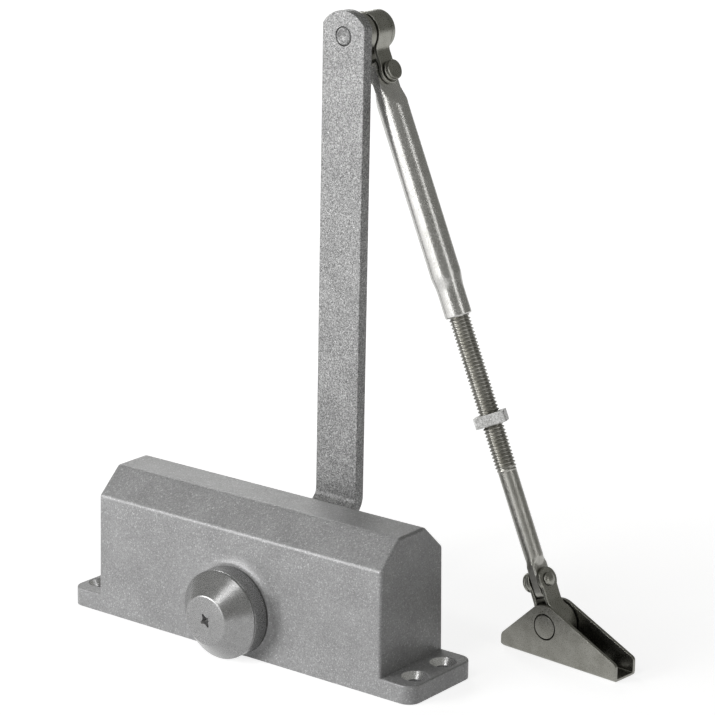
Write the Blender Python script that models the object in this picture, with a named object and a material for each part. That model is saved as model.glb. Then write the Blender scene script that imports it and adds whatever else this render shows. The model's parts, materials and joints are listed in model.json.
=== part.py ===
"""Surface door closer: rack-and-pinion body, main arm, adjustable forearm and shoe.

Frame: +X along the body towards the spring end, -Y the capped side, +Z away from the
mounting plane. The origin is the centre of the body's mounting face, and the shoe's web
lies on the same plane. Lengths are in millimetres here and become metres in the mesh.
"""
import math

import bmesh
import bpy
from mathutils import Matrix, Vector

MM = 0.001

# ---- fits and facets ------------------------------------------------------------------
GAP = 0.3                 # clearance between touching pieces
FINE = 32                 # facets of large round pieces
MEDIUM = 24               # facets of middling round pieces
SMALL = 16                # facets of small round pieces
TINY = 12                 # facets of the smallest holes
REACH = 60.0              # how far a cutter runs out into the open

# ---- housing --------------------------------------------------------------------------
BODY_LENGTH = 151.0       # casting block at the mounting face
BODY_WIDTH = 42.0
BODY_HEIGHT = 63.0
CHAMFER_DROP = 10.9       # long top chamfers, down from the top
CHAMFER_RUN = 12.3        # and in from the sides
DRAFT = math.radians(0.7)
BODY_EDGE = 1.2           # rounding of the casting's edges
FLANGE_REACH = 15.5       # each flange beyond the block
FLANGE_THICKNESS = 7.8
FLANGE_CORNER = 5.5
HOLE_INSET = 7.0          # screw holes from a flange's end
HOLE_PITCH_Y = 19.0
HOLE_RADIUS = 3.2
SINK_RADIUS = 5.65
SINK_DEPTH = 2.7
BOSS_RIM = 0.3            # round pad beyond the cap it carries
BOSS_RISE = 1.0           # above the side face
BOSS_FILLET = 5.0
BORE_WALL = 4.0           # between the bore and a side of the block
BORE_HEIGHT = 28.0        # bore axis above the mounting face
BORE_END_WALL = 6.5       # metal beyond the bore's blind end, on the spring side

# ---- pinion and what carries it ---------------------------------------------------------
RACK_DROP = 0.7           # rack's pitch line below the bore axis
GEAR_CLEARANCE = 1.1      # cross bore beyond the teeth
NUT_SHOULDER = 3.0        # nut's bore beyond the cross bore
NUT_DEPTH = 3.7           # nut's seat below the boss face
NUT_PROUD = 3.2           # nut above the boss face
SHAFT_PROUD = 1.0         # shaft's rear shoulder above the nut
STEM_PROUD = 1.2          # shaft's front end above the nut
JOURNAL_MARGIN = 0.26     # journal beyond the square's corners
BEARING_LENGTH = 4.6
SEAL_LENGTH = 1.2
TEETH = 10
MODULE = 1.6
BACKLASH = 0.5            # free play along the pitch line
ADDENDUM = 1.4
DEDENDUM = 1.9
GEAR_WIDTH = 15.6
SQUARE_SIZE = 10.0        # across flats of the arm's square
SQUARE_CORNER = 0.8
HUB_CLEARANCE = 1.4       # arm's hub beyond the shaft's rear shoulder

# ---- piston and spring ------------------------------------------------------------------
PISTON_HEAD = 14.0        # solid end on the plug side
PISTON_FOOT = 12.4        # solid end on the spring side
SLOT_MARGIN = 1.1         # slot beyond the pinion's bearings at either end of the stroke
SLOT_CLEARANCE = 0.8      # slot above the bearings, beside the rack
RACK_INSET = 0.6          # rack within each face of the gear, so it clears the journals
RING_WIDTH = 3.0
RING_DEPTH = 1.7
CHECK_DROP = 7.0          # check valve below the bore axis
CHECK_BORE_RADIUS = 3.2
CHECK_BORE_DEPTH = 9.6
CHECK_BALL_PLAY = 0.5     # between the ball and its bore
SPRING_WIRE = 3.2
SPRING_CLEARANCE = 3.0    # between the coils and the bore
SPRING_TURNS = 5.0
SEAT_THICKNESS = 2.2

# ---- end plug and valves ----------------------------------------------------------------
PLUG_LENGTH = 10.0
PLUG_SEAL_WIDTH = 2.6
PLUG_SEAL_DEPTH = 1.8
SPANNER_HOLE_RADIUS = 2.0
SPANNER_HOLE_OFFSET = 9.5
VALVE_SPACING = 13.0
VALVE_RADIUS = 3.0
VALVE_LENGTH = 19.0
PASSAGE_RADIUS = 1.2

# ---- cap ----------------------------------------------------------------------------------
CAP_ROOM = 2.2            # between the nut's bore and the cap's wall
CAP_RIM = 8.2             # straight part of the cap
CAP_CONE = 8.5            # height of the cone above it
CAP_TAPER = 8.4           # what the cone takes off the radius
CAP_WALL = 3.0
CAP_STEM_RADIUS = 2.7
RECESS_SPAN = 5.8
RECESS_SLOT = 1.7
RECESS_DEPTH = 2.4
RECESS_TURN = 58.0        # degrees, first slot of the cross from the arm's width

# ---- main arm -----------------------------------------------------------------------------
ARM_LENGTH = 227.9        # pinion axis to elbow axis
ARM_TILT = math.radians(0.6)
ARM_WIDTH = 21.6
ARM_THICKNESS = 5.3
ARM_JOGGLE = 17.5         # long straight stretch beyond the hub
ARM_JOGGLE_START = 10.5   # foot of the joggle, up the arm from the pinion axis
ARM_JOGGLE_SLOPE = math.radians(46)
ARM_BEND = 6.5            # bend radius at the middle of the strip
ARM_TOP = 10.5            # metal beyond the elbow axis
ARM_SHOULDER = 4.5
ARM_EDGE = 0.5
BOLT_RADIUS = 2.7
BOLT_HEAD_ACROSS = 11.0
BOLT_HEAD_HEIGHT = 4.2
BOLT_REACH = 10.0
ARM_WASHER_RADIUS = 9.0
ARM_WASHER_THICKNESS = 1.6

# ---- knuckles: one strap, bent round its pin, used at both ends of the forearm -------------
EYE_RADIUS = 8.6          # outside of the strap's eye
STRAP = 1.6
STRAP_WIDTH = 8.8
NECK_RADIUS = 5.0         # outside bend between the eye and a leg
KNUCKLE_REACH = 18.2      # eye axis to rivet axis
LEG_END_SWELL = 0.8       # leg's round end beyond the strap's own half width
EYE_STEPS = 20
RIVET_RADIUS = 2.2
RIVET_HEAD_RADIUS = 4.2
RIVET_HEAD_HEIGHT = 2.7
RIVET_DOME_RADIUS = 2.9
RIVET_DOME_HEIGHT = 1.4

# ---- elbow --------------------------------------------------------------------------------
ELBOW_STANDOFF = 1.4      # knuckle clear of the collar
ELBOW_TIP_RADIUS = 3.8
ELBOW_COLLAR_RIM = 1.8    # collar beyond the pin it sits on
ELBOW_COLLAR_THICKNESS = 5.8
ELBOW_HEAD_RIM = 1.7      # head beyond the pin
ELBOW_HEAD_THICKNESS = 2.4

# ---- forearm, measured down from the upper rivet ------------------------------------------
FOREARM_LENGTH = 217.5    # upper rivet to lower rivet, as adjusted
FOREARM_LEAN = math.radians(-0.55)
TUBE_RADIUS = 6.45
TUBE_NECK_WALL = 0.9      # metal round the threaded bore
TUBE_TAPER = 4.0          # between the full bar and its neck
TUBE_NECK = 12.1          # length of the neck
TUBE_END = 104.1
TUBE_BORE_SPARE = 24.0    # room above the rod, to screw it in
TONGUE_HALF = 2.1         # half thickness of both flattened ends
TUBE_TONGUE_TOP = 6.8     # metal above the upper rivet
TUBE_FLAT_END = 6.0
TUBE_ROUND_START = 15.4
ROD_ENGAGEMENT = 46.1     # thread inside the tube
THREAD_RADIUS = 4.5
SHANK_LENGTH = 46.7       # thread's end to the lower rivet
SHANK_STEP = 0.6          # shank within the thread
ROD_PRESS_LENGTH = 4.4     # from the round shank to the flat tongue
ROD_PRESS_CLEARANCE = 0.9  # that stretch clear of the knuckle's legs
ROD_TONGUE_HALF_WIDTH = 4.5
ROD_TONGUE_BOTTOM = 7.0   # metal below the lower rivet
NUT_PLACE = 22.6          # nut's middle above the thread's end
NUT_THICKNESS = 4.8
NUT_WALL = 1.8            # metal between the thread and a flat
NUT_CORNER = 0.8          # rounding of the square nut's corners
NUT_EDGE = 0.3
NUT_TURN = math.radians(36.7)      # of the nut on the rod

# ---- shoe ---------------------------------------------------------------------------------
SHOE_YAW = math.radians(-4.64)
SHOE_PIN_HEIGHT = 14.3
SHOE_BEHIND = 22.6        # short end of the shoe, from the pin axis
SHOE_AHEAD = 37.0         # long end
SHOE_SIDE_PLAY = 0.7      # between the knuckle and a shoe wall
SHOE_WALL = 1.5
SHOE_BEND = 2.0           # outside radius between wall and web
SHOE_EAR_WALL = 4.1       # metal round the pin
SHOE_SHORT_END = 5.8       # height of the short end above the web's underside
SHOE_LONG_END = 7.55       # height of the long end
SHOE_CORNER = 1.4
SHOE_FOOT_CORNER = 0.7     # at the long end, by the web
SHOE_PIN_INSET = 1.6      # pin's ends within its eye's part
SHOE_HOLE_RADIUS = 2.3
SHOE_HOLE_INSET = 7.1      # screw holes in the web, from its ends
SHOE_HOLE_PITCH = 11.0     # between the long end's two holes

MATERIALS = {
    "sprayed_casting": ((0.42, 0.42, 0.43), 0.42, 0.85),
    "sprayed_steel": ((0.46, 0.46, 0.47), 0.38, 0.9),
    "plated_steel": ((0.50, 0.49, 0.46), 0.28, 1.0),
    "machined_steel": ((0.45, 0.45, 0.46), 0.32, 1.0),
    "bright_steel": ((0.60, 0.60, 0.61), 0.2, 1.0),
    "spring_steel": ((0.22, 0.22, 0.24), 0.35, 1.0),
    "nitrile_rubber": ((0.02, 0.02, 0.02), 0.7, 0.0),
}


# ---- helpers ------------------------------------------------------------------------------
def material(name):
    """Principled BSDF by name, made once."""
    found = bpy.data.materials.get(name)
    if found:
        return found
    colour, roughness, metallic = MATERIALS[name]
    made = bpy.data.materials.new(name)
    made.use_nodes = True
    shader = made.node_tree.nodes["Principled BSDF"]
    shader.inputs["Base Color"].default_value = (*colour, 1.0)
    shader.inputs["Roughness"].default_value = roughness
    shader.inputs["Metallic"].default_value = metallic
    return made


def frame_matrix(origin, x_axis, y_axis, z_axis):
    """World matrix of a frame whose origin is in millimetres."""
    matrix = Matrix((x_axis, y_axis, z_axis)).transposed().to_4x4()
    matrix.translation = Vector(origin) * MM
    return matrix


def add_frame(name, matrix):
    """Empty that carries every piece of one moving body."""
    empty = bpy.data.objects.new(name, None)
    bpy.context.scene.collection.objects.link(empty)
    empty.matrix_world = matrix
    return empty


def add_object(name, bm, parent, finish):
    """Object from a bmesh in millimetres, in its parent's frame."""
    bmesh.ops.recalc_face_normals(bm, faces=bm.faces)
    bmesh.ops.scale(bm, vec=(MM, MM, MM), verts=bm.verts)
    mesh = bpy.data.meshes.new(name)
    bm.to_mesh(mesh)
    bm.free()
    made = bpy.data.objects.new(name, mesh)
    bpy.context.scene.collection.objects.link(made)
    made.parent = parent
    if finish:
        mesh.materials.append(material(finish))
    mesh.shade_smooth()
    mesh.set_sharp_from_angle(angle=math.radians(30))
    return made


def turned_mesh(profile, axis="Y", facets=MEDIUM, centre=(0, 0, 0)):
    """Solid of revolution. profile: (radius, station) points round the closed half section.
    A flat end is one face."""
    bm = bmesh.new()
    along = {"X": Vector((1, 0, 0)), "Y": Vector((0, 1, 0)), "Z": Vector((0, 0, 1))}[axis]
    across = {"X": Vector((0, 0, 1)), "Y": Vector((0, 0, 1)), "Z": Vector((1, 0, 0))}[axis]
    start = Vector(centre)
    points = [bm.verts.new(start + along * station + across * radius)
              for radius, station in profile]
    on_axis = [radius < 1e-6 for radius, station in profile]
    count = len(points)
    edges = [bm.edges.new((points[i], points[(i + 1) % count]))
             for i in range(count) if not (on_axis[i] and on_axis[(i + 1) % count])]
    bmesh.ops.spin(bm, geom=points + edges, cent=start, axis=along, dvec=(0, 0, 0),
                   angle=math.tau, steps=facets, use_merge=True)
    bmesh.ops.remove_doubles(bm, verts=bm.verts, dist=1e-4)
    flat = {station for i, (radius, station) in enumerate(profile) if on_axis[i]
            for j in (i - 1, (i + 1) % count)
            if not on_axis[j] and abs(profile[j][1] - station) < 1e-6}
    for station in flat:
        place = start + along * station
        middle = min(bm.verts, key=lambda vert: (vert.co - place).length)
        bmesh.ops.dissolve_verts(bm, verts=[middle])
    return bm


def prism_mesh(outline, low, high, axis="Y", centre=(0, 0, 0)):
    """Outline pushed along an axis. Y and Z outlines are (x, z) and (x, y); X ones (y, z)."""
    place = {"X": lambda a, b, h: (h, a, b), "Y": lambda a, b, h: (a, h, b),
             "Z": lambda a, b, h: (a, b, h)}[axis]
    bm = bmesh.new()
    start = Vector(centre)
    face = bm.faces.new([bm.verts.new(start + Vector(place(a, b, low))) for a, b in outline])
    pushed = bmesh.ops.extrude_face_region(bm, geom=[face])
    moved = [item for item in pushed["geom"] if isinstance(item, bmesh.types.BMVert)]
    bmesh.ops.translate(bm, verts=moved, vec=Vector(place(0, 0, high - low)))
    return bm


def box_mesh(low, high):
    """Box between two corners."""
    outline = [(low[0], low[1]), (high[0], low[1]), (high[0], high[1]), (low[0], high[1])]
    return prism_mesh(outline, low[2], high[2], axis="Z")


def arc(centre, radius, start, end, steps):
    """Points of an arc, angles in degrees, both ends included."""
    turns = [math.radians(start + (end - start) * i / steps) for i in range(steps + 1)]
    return [(centre[0] + radius * math.cos(t), centre[1] + radius * math.sin(t)) for t in turns]


def rounded_box_outline(half_a, half_b, radius, steps=4):
    """Rectangle with rounded corners."""
    a, b = half_a - radius, half_b - radius
    corners = [((a, b), 0), ((-a, b), 90), ((-a, -b), 180), ((a, -b), 270)]
    return [p for centre, turn in corners for p in arc(centre, radius, turn, turn + 90, steps)]


def combine(target, bm, operation="DIFFERENCE", label="tool"):
    """Boolean of target with a hidden guide made from bm, in the target's parent frame."""
    guide = add_object(f"{target.name}_{label}", bm, target.parent, None)
    guide.hide_render = True
    guide.hide_set(True)
    guide.display_type = "WIRE"
    modifier = target.modifiers.new(label, "BOOLEAN")
    modifier.operation = operation
    modifier.object = guide
    modifier.solver = "EXACT"


def bevel(target, width, segments=2, angle=40):
    """Rounded edges on whatever the modifiers above this one have made."""
    modifier = target.modifiers.new("rounding", "BEVEL")
    modifier.width = width * MM
    modifier.segments = segments
    modifier.limit_method = "ANGLE"
    modifier.angle_limit = math.radians(angle)


def rod_profile(radius, low, high, edge=0.3):
    """Half section of a plain round bar with small edge chamfers."""
    return [(0, low), (radius - edge, low), (radius, low + edge),
            (radius, high - edge), (radius - edge, high), (0, high)]


def ring_profile(inner, outer, low, high, edge=0.0):
    """Half section of a ring, with chamfered outer edges where edge is given."""
    if not edge:
        return [(inner, low), (outer, low), (outer, high), (inner, high)]
    return [(inner, low), (outer - edge, low), (outer, low + edge),
            (outer, high - edge), (outer - edge, high), (inner, high)]


def hexagon(across):
    """Hexagon by its size across flats."""
    return arc((0, 0), across / math.sqrt(3), 30, 330, 5)


# ---- worked-out sizes and places ------------------------------------------------------------
FLANGE_LENGTH = BODY_LENGTH + 2 * FLANGE_REACH
HOLE_PITCH_X = FLANGE_LENGTH - 2 * HOLE_INSET
SHOULDER_HEIGHT = BODY_HEIGHT - CHAMFER_DROP
TOP_WIDTH = BODY_WIDTH - 2 * CHAMFER_RUN
BODY_END = BODY_LENGTH / 2
BORE_END = BODY_END - BORE_END_WALL
BORE_RADIUS = BODY_WIDTH / 2 - BORE_WALL
VALVE_HEIGHT = (BORE_HEIGHT + BORE_RADIUS + BODY_HEIGHT) / 2
PITCH_RADIUS = MODULE * TEETH / 2
PINION_HEIGHT = BORE_HEIGHT - RACK_DROP - PITCH_RADIUS
CROSS_BORE_RADIUS = PITCH_RADIUS + ADDENDUM + GEAR_CLEARANCE
NUT_BORE_RADIUS = CROSS_BORE_RADIUS + NUT_SHOULDER
CAP_RADIUS = NUT_BORE_RADIUS + CAP_ROOM + CAP_WALL
CAP_FACE_RADIUS = CAP_RADIUS - CAP_TAPER
BOSS_RADIUS = CAP_RADIUS + BOSS_RIM
BOSS_FACE = BODY_WIDTH / 2 + BOSS_RISE
NUT_BORE_SEAT = BOSS_FACE - NUT_DEPTH
NUT_FACE = BOSS_FACE + NUT_PROUD
SQUARE_DIAGONAL = math.sqrt(2) * (SQUARE_SIZE / 2 - SQUARE_CORNER) + SQUARE_CORNER
JOURNAL_RADIUS = SQUARE_DIAGONAL + JOURNAL_MARGIN
HUB_OFFSET = NUT_FACE + SHAFT_PROUD + HUB_CLEARANCE
ARM_FACE = HUB_OFFSET + ARM_JOGGLE
RACK_WIDTH = GEAR_WIDTH - 2 * RACK_INSET
SLOT_TOP = CROSS_BORE_RADIUS + SLOT_CLEARANCE
CHECK_BALL_RADIUS = CHECK_BORE_RADIUS - CHECK_BALL_PLAY
STROKE = PITCH_RADIUS * math.pi        # the arm turns through half a turn
SLOT_LEFT = -(STROKE + CROSS_BORE_RADIUS + SLOT_MARGIN)
SLOT_RIGHT = CROSS_BORE_RADIUS + SLOT_MARGIN
PISTON_LEFT = SLOT_LEFT - PISTON_HEAD
PISTON_RIGHT = SLOT_RIGHT + PISTON_FOOT
SPRING_RADIUS = BORE_RADIUS - SPRING_CLEARANCE - SPRING_WIRE / 2
EYE_INNER = EYE_RADIUS - STRAP
EYE_PIN_RADIUS = EYE_INNER - GAP
LEG_END_RADIUS = STRAP_WIDTH / 2 + LEG_END_SWELL
ELBOW_COLLAR_RADIUS = EYE_PIN_RADIUS + ELBOW_COLLAR_RIM
ELBOW_HEAD_RADIUS = EYE_PIN_RADIUS + ELBOW_HEAD_RIM
LEG_HALF_GAP = TONGUE_HALF + GAP
TUBE_NECK_RADIUS = THREAD_RADIUS + GAP + TUBE_NECK_WALL
TUBE_NECK_START = TUBE_END - TUBE_NECK
TUBE_FULL_END = TUBE_NECK_START - TUBE_TAPER
ROD_TOP = TUBE_END - ROD_ENGAGEMENT
TUBE_BORE_START = ROD_TOP - TUBE_BORE_SPARE
THREAD_END = FOREARM_LENGTH - SHANK_LENGTH
SHANK_RADIUS = THREAD_RADIUS - SHANK_STEP
ROD_ROUND_END = FOREARM_LENGTH - LEG_END_RADIUS - ROD_PRESS_CLEARANCE - ROD_PRESS_LENGTH
NUT_CENTRE = THREAD_END - NUT_PLACE
NUT_ACROSS = 2 * (THREAD_RADIUS + GAP + NUT_WALL)
ELBOW_BACK = ARM_FACE + ARM_THICKNESS + GAP
ELBOW_PLANE = ELBOW_BACK + ELBOW_COLLAR_THICKNESS + ELBOW_STANDOFF + STRAP_WIDTH / 2
SHOE_PIN_RADIUS = EYE_PIN_RADIUS - SHOE_PIN_INSET
SHOE_EAR_RADIUS = SHOE_PIN_RADIUS + SHOE_EAR_WALL
SHOE_WIDTH = STRAP_WIDTH + 2 * (SHOE_SIDE_PLAY + SHOE_WALL)
SHOE_HOLES = (SHOE_HOLE_INSET - SHOE_BEHIND, SHOE_AHEAD - SHOE_HOLE_INSET - SHOE_HOLE_PITCH,
              SHOE_AHEAD - SHOE_HOLE_INSET)    # along the web from the pin
SHOE_SHORT_DROP = SHOE_PIN_HEIGHT - SHOE_SHORT_END
SHOE_LONG_DROP = SHOE_PIN_HEIGHT - SHOE_LONG_END
SHOE_SHORT_SLOPE = (math.asin(SHOE_EAR_RADIUS / math.hypot(SHOE_BEHIND, SHOE_SHORT_DROP))
                    + math.atan2(SHOE_SHORT_DROP, SHOE_BEHIND))
SHOE_LONG_SLOPE = (math.asin(SHOE_EAR_RADIUS / math.hypot(SHOE_AHEAD, SHOE_LONG_DROP))
                   + math.atan2(SHOE_LONG_DROP, SHOE_AHEAD))
PINION_POINT = Vector((0, 0, PINION_HEIGHT))
ARM_DIRECTION = Vector((math.sin(ARM_TILT), 0, math.cos(ARM_TILT)))
ELBOW = PINION_POINT + ARM_DIRECTION * ARM_LENGTH + Vector((0, ELBOW_PLANE, 0))
WORLD_Y = Vector((0, 1, 0))
SHOE_ACROSS = Vector((-math.sin(SHOE_YAW), math.cos(SHOE_YAW), 0))
SHOE_ALONG = Vector((math.cos(SHOE_YAW), math.sin(SHOE_YAW), 0))


def linkage(swing):
    """Frames of the forearm chain for one swing of the forearm from the vertical."""
    down = Vector((math.sin(swing) * math.cos(FOREARM_LEAN), math.sin(FOREARM_LEAN),
                   -math.cos(swing) * math.cos(FOREARM_LEAN)))
    upper_axis = down.cross(WORLD_Y).normalized()
    upper_down = WORLD_Y.cross(upper_axis)
    upper_rivet = ELBOW + upper_down * KNUCKLE_REACH
    lower_axis = down.cross(SHOE_ACROSS).normalized()
    lower_down = SHOE_ACROSS.cross(lower_axis)
    lower_rivet = upper_rivet + down * FOREARM_LENGTH
    shoe_pin = lower_rivet + lower_down * KNUCKLE_REACH
    return {
        "knuckle": frame_matrix(ELBOW, upper_axis, WORLD_Y, -upper_down),
        "forearm": frame_matrix(upper_rivet, upper_axis, (-down).cross(upper_axis), -down),
        "rod": frame_matrix(lower_rivet, lower_axis, (-down).cross(lower_axis), -down),
        "lower": frame_matrix(lower_rivet, lower_axis, SHOE_ACROSS, -lower_down),
        "shoe": frame_matrix(shoe_pin, SHOE_ALONG, SHOE_ACROSS, Vector((0, 0, 1))),
    }


def solve_swing():
    """Swing that lays the shoe's web on the mounting plane."""
    small, large = math.radians(1), math.radians(80)
    for _ in range(50):
        middle = (small + large) / 2
        height = linkage(middle)["shoe"].translation.z / MM
        small, large = (middle, large) if height < SHOE_PIN_HEIGHT else (small, middle)
    return middle


# ---- housing -------------------------------------------------------------------------------
def make_housing(parent):
    """Casting block with its screw flanges, bosses and bores."""
    half = BODY_WIDTH / 2
    shoulder = half - SHOULDER_HEIGHT * math.tan(DRAFT)
    top = TOP_WIDTH / 2
    section = [(-half, 0), (half, 0), (shoulder, SHOULDER_HEIGHT), (top, BODY_HEIGHT),
               (-top, BODY_HEIGHT), (-shoulder, SHOULDER_HEIGHT)]
    bm = prism_mesh(section, -BODY_END, BODY_END, axis="X")
    for vert in bm.verts:
        vert.co.x -= math.copysign(vert.co.z * math.tan(DRAFT), vert.co.x)
    housing = add_object("housing", bm, parent, "sprayed_casting")
    bevel(housing, BODY_EDGE, segments=1, angle=20)

    flange = rounded_box_outline(FLANGE_LENGTH / 2, half, FLANGE_CORNER)
    combine(housing, prism_mesh(flange, 0, FLANGE_THICKNESS, axis="Z"), "UNION", "flange")
    for side, label in ((-1, "front"), (1, "rear")):
        bm = boss_mesh(side)
        combine(housing, bm, "UNION", f"{label}_boss")
    combine(housing, box_mesh((-REACH, -REACH, -REACH), (REACH, REACH, 0)), label="underside")

    bore = rod_profile(BORE_RADIUS, -BODY_END - REACH, BORE_END, edge=1.0)
    combine(housing, turned_mesh(bore, "X", FINE, (0, 0, BORE_HEIGHT)), label="piston_bore")
    cross = [(0, -REACH), (NUT_BORE_RADIUS, -REACH), (NUT_BORE_RADIUS, -NUT_BORE_SEAT),
             (CROSS_BORE_RADIUS, -NUT_BORE_SEAT), (CROSS_BORE_RADIUS, NUT_BORE_SEAT),
             (NUT_BORE_RADIUS, NUT_BORE_SEAT), (NUT_BORE_RADIUS, REACH), (0, REACH)]
    combine(housing, turned_mesh(cross, "Y", MEDIUM, PINION_POINT), label="cross_bore")
    for number, (x, y) in enumerate(screw_places()):
        hole = [(0, -REACH), (HOLE_RADIUS, -REACH),
                (HOLE_RADIUS, FLANGE_THICKNESS - SINK_DEPTH), (SINK_RADIUS, FLANGE_THICKNESS),
                (SINK_RADIUS, FLANGE_THICKNESS + 2), (0, FLANGE_THICKNESS + 2)]
        combine(housing, turned_mesh(hole, "Z", SMALL, (x, y, 0)), label=f"screw_hole_{number}")
    for side, label in ((-1, "sweep"), (1, "latch")):
        y = side * VALVE_SPACING / 2
        deep = VALVE_LENGTH + GAP
        hole = rod_profile(VALVE_RADIUS + GAP, -BODY_END - REACH, -BODY_END + deep + 2)
        combine(housing, turned_mesh(hole, "X", SMALL, (0, y, VALVE_HEIGHT)),
                label=f"{label}_valve_bore")
        passage = rod_profile(PASSAGE_RADIUS, BORE_HEIGHT, VALVE_HEIGHT)
        combine(housing, turned_mesh(passage, "Z", 8, (-BODY_END + deep, y, 0)),
                label=f"{label}_passage")


def screw_places():
    """Centres of the four flange holes."""
    return [(sx * HOLE_PITCH_X / 2, sy * HOLE_PITCH_Y / 2) for sx in (-1, 1) for sy in (-1, 1)]


def boss_mesh(side):
    """Round pad on a side face, with a hollow fillet down to the face."""
    root = BODY_WIDTH / 2 - PINION_HEIGHT * math.tan(DRAFT)
    rise = BOSS_FACE - root
    fillet = [(BOSS_RADIUS + BOSS_FILLET * (1 - math.cos(t)), BOSS_FACE - rise * math.sin(t))
              for t in (math.radians(22.5 * i) for i in range(1, 5))]
    inner = root - 6
    outer_radius = fillet[-1][0]
    profile = [(0, inner), (outer_radius, inner)] + fillet[::-1]
    profile += [(BOSS_RADIUS, BOSS_FACE), (0, BOSS_FACE)]
    return turned_mesh([(r, side * y) for r, y in profile], "Y", FINE, PINION_POINT)


def make_end_plug(parent):
    """Screwed plug that closes the bore, with its ring seal."""
    outer = -BODY_END + 0.6
    inner = outer + PLUG_LENGTH
    radius = BORE_RADIUS - GAP
    groove = outer + PLUG_LENGTH / 2
    low, high = groove - PLUG_SEAL_WIDTH / 2, groove + PLUG_SEAL_WIDTH / 2
    profile = [(0, outer), (radius, outer), (radius, low - GAP),
               (radius - PLUG_SEAL_DEPTH - GAP, low - GAP),
               (radius - PLUG_SEAL_DEPTH - GAP, high + GAP), (radius, high + GAP),
               (radius, inner), (0, inner)]
    centre = (0, 0, BORE_HEIGHT)
    plug = add_object("end_plug", turned_mesh(profile, "X", MEDIUM, centre), parent,
                      "machined_steel")
    for side in (-1, 1):
        hole = rod_profile(SPANNER_HOLE_RADIUS, outer - REACH, outer + PLUG_LENGTH / 2)
        place = (0, side * SPANNER_HOLE_OFFSET, BORE_HEIGHT)
        combine(plug, turned_mesh(hole, "X", TINY, place), label=f"spanner_hole_{side}")
    seal = ring_profile(radius - PLUG_SEAL_DEPTH, radius, low, high)
    add_object("plug_seal", turned_mesh(seal, "X", MEDIUM, centre), parent, "nitrile_rubber")


def make_pinion_carriers(parent):
    """Bearing, shaft seal and retaining nut on each side of the casting."""
    for side, label in ((-1, "front"), (1, "rear")):
        seal_out = NUT_BORE_SEAT
        seal_in = seal_out - SEAL_LENGTH
        bearing_out = seal_in - GAP
        bearing = ring_profile(JOURNAL_RADIUS + GAP, CROSS_BORE_RADIUS - GAP,
                               bearing_out - BEARING_LENGTH, bearing_out)
        seal = ring_profile(JOURNAL_RADIUS + GAP, CROSS_BORE_RADIUS - GAP, seal_in, seal_out)
        nut = ring_profile(JOURNAL_RADIUS + GAP, NUT_BORE_RADIUS - GAP,
                           NUT_BORE_SEAT + GAP, NUT_FACE, edge=0.6)
        for name, profile, finish in ((f"{label}_bearing", bearing, "machined_steel"),
                                      (f"{label}_shaft_seal", seal, "nitrile_rubber"),
                                      (f"{label}_retaining_nut", nut, "machined_steel")):
            mirrored = [(r, side * y) for r, y in profile]
            made = add_object(name, turned_mesh(mirrored, "Y", MEDIUM, PINION_POINT),
                              parent, finish)
        for turn in (0, 180):
            lever = math.radians(turn)
            offset = (NUT_BORE_RADIUS + JOURNAL_RADIUS) / 2
            place = PINION_POINT + Vector((math.cos(lever), 0, math.sin(lever))) * offset
            face = side * NUT_FACE
            hole = [(0, face - side * 3), (1.3, face - side * 3), (1.3, face + side * 5),
                    (0, face + side * 5)]
            combine(made, turned_mesh(hole, "Y", TINY, place), label=f"spanner_hole_{turn}")


def make_valves():
    """Two needle valves in the plug end, each on its own axis."""
    for side, name in ((-1, "sweep_valve"), (1, "latch_valve")):
        y = side * VALVE_SPACING / 2
        place = Vector((-BODY_END, y, VALVE_HEIGHT))
        frame = add_frame(f"{name}_frame", Matrix.Translation(place * MM))
        head = 1.6
        tip = VALVE_LENGTH
        profile = [(0, head), (VALVE_RADIUS - 0.4, head), (VALVE_RADIUS, head + 0.4),
                   (VALVE_RADIUS, tip - 6), (1.8, tip - 5), (1.8, tip - 3), (0, tip)]
        screw = add_object(name, turned_mesh(profile, "X", SMALL), frame, "machined_steel")
        slot = box_mesh((-REACH / 10, -REACH / 10, -0.5), (head + 1.4, REACH / 10, 0.5))
        combine(screw, slot, label="driver_slot")


# ---- piston and spring -----------------------------------------------------------------------
def rack_slot_outline():
    """(x, z) outline of the slot's middle, with the rack teeth hanging from its roof."""
    pitch = math.pi * MODULE
    half_at_pitch = pitch / 4 - BACKLASH / 2
    slope = math.tan(math.radians(20))
    tip = PITCH_RADIUS - ADDENDUM
    root = PITCH_RADIUS + DEDENDUM
    tip_half = half_at_pitch - ADDENDUM * slope
    root_half = half_at_pitch + DEDENDUM * slope
    phase = PITCH_RADIUS * ARM_TILT + pitch / 2
    first = math.ceil((SLOT_LEFT + root_half - phase) / pitch)
    last = math.floor((SLOT_RIGHT - root_half - phase) / pitch)
    points = [(SLOT_LEFT, -REACH), (SLOT_LEFT, root)]
    for number in range(first, last + 1):
        x = phase + number * pitch
        points += [(x - root_half, root), (x - tip_half, tip), (x + tip_half, tip),
                   (x + root_half, root)]
    return points + [(SLOT_RIGHT, root), (SLOT_RIGHT, -REACH)]


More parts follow.
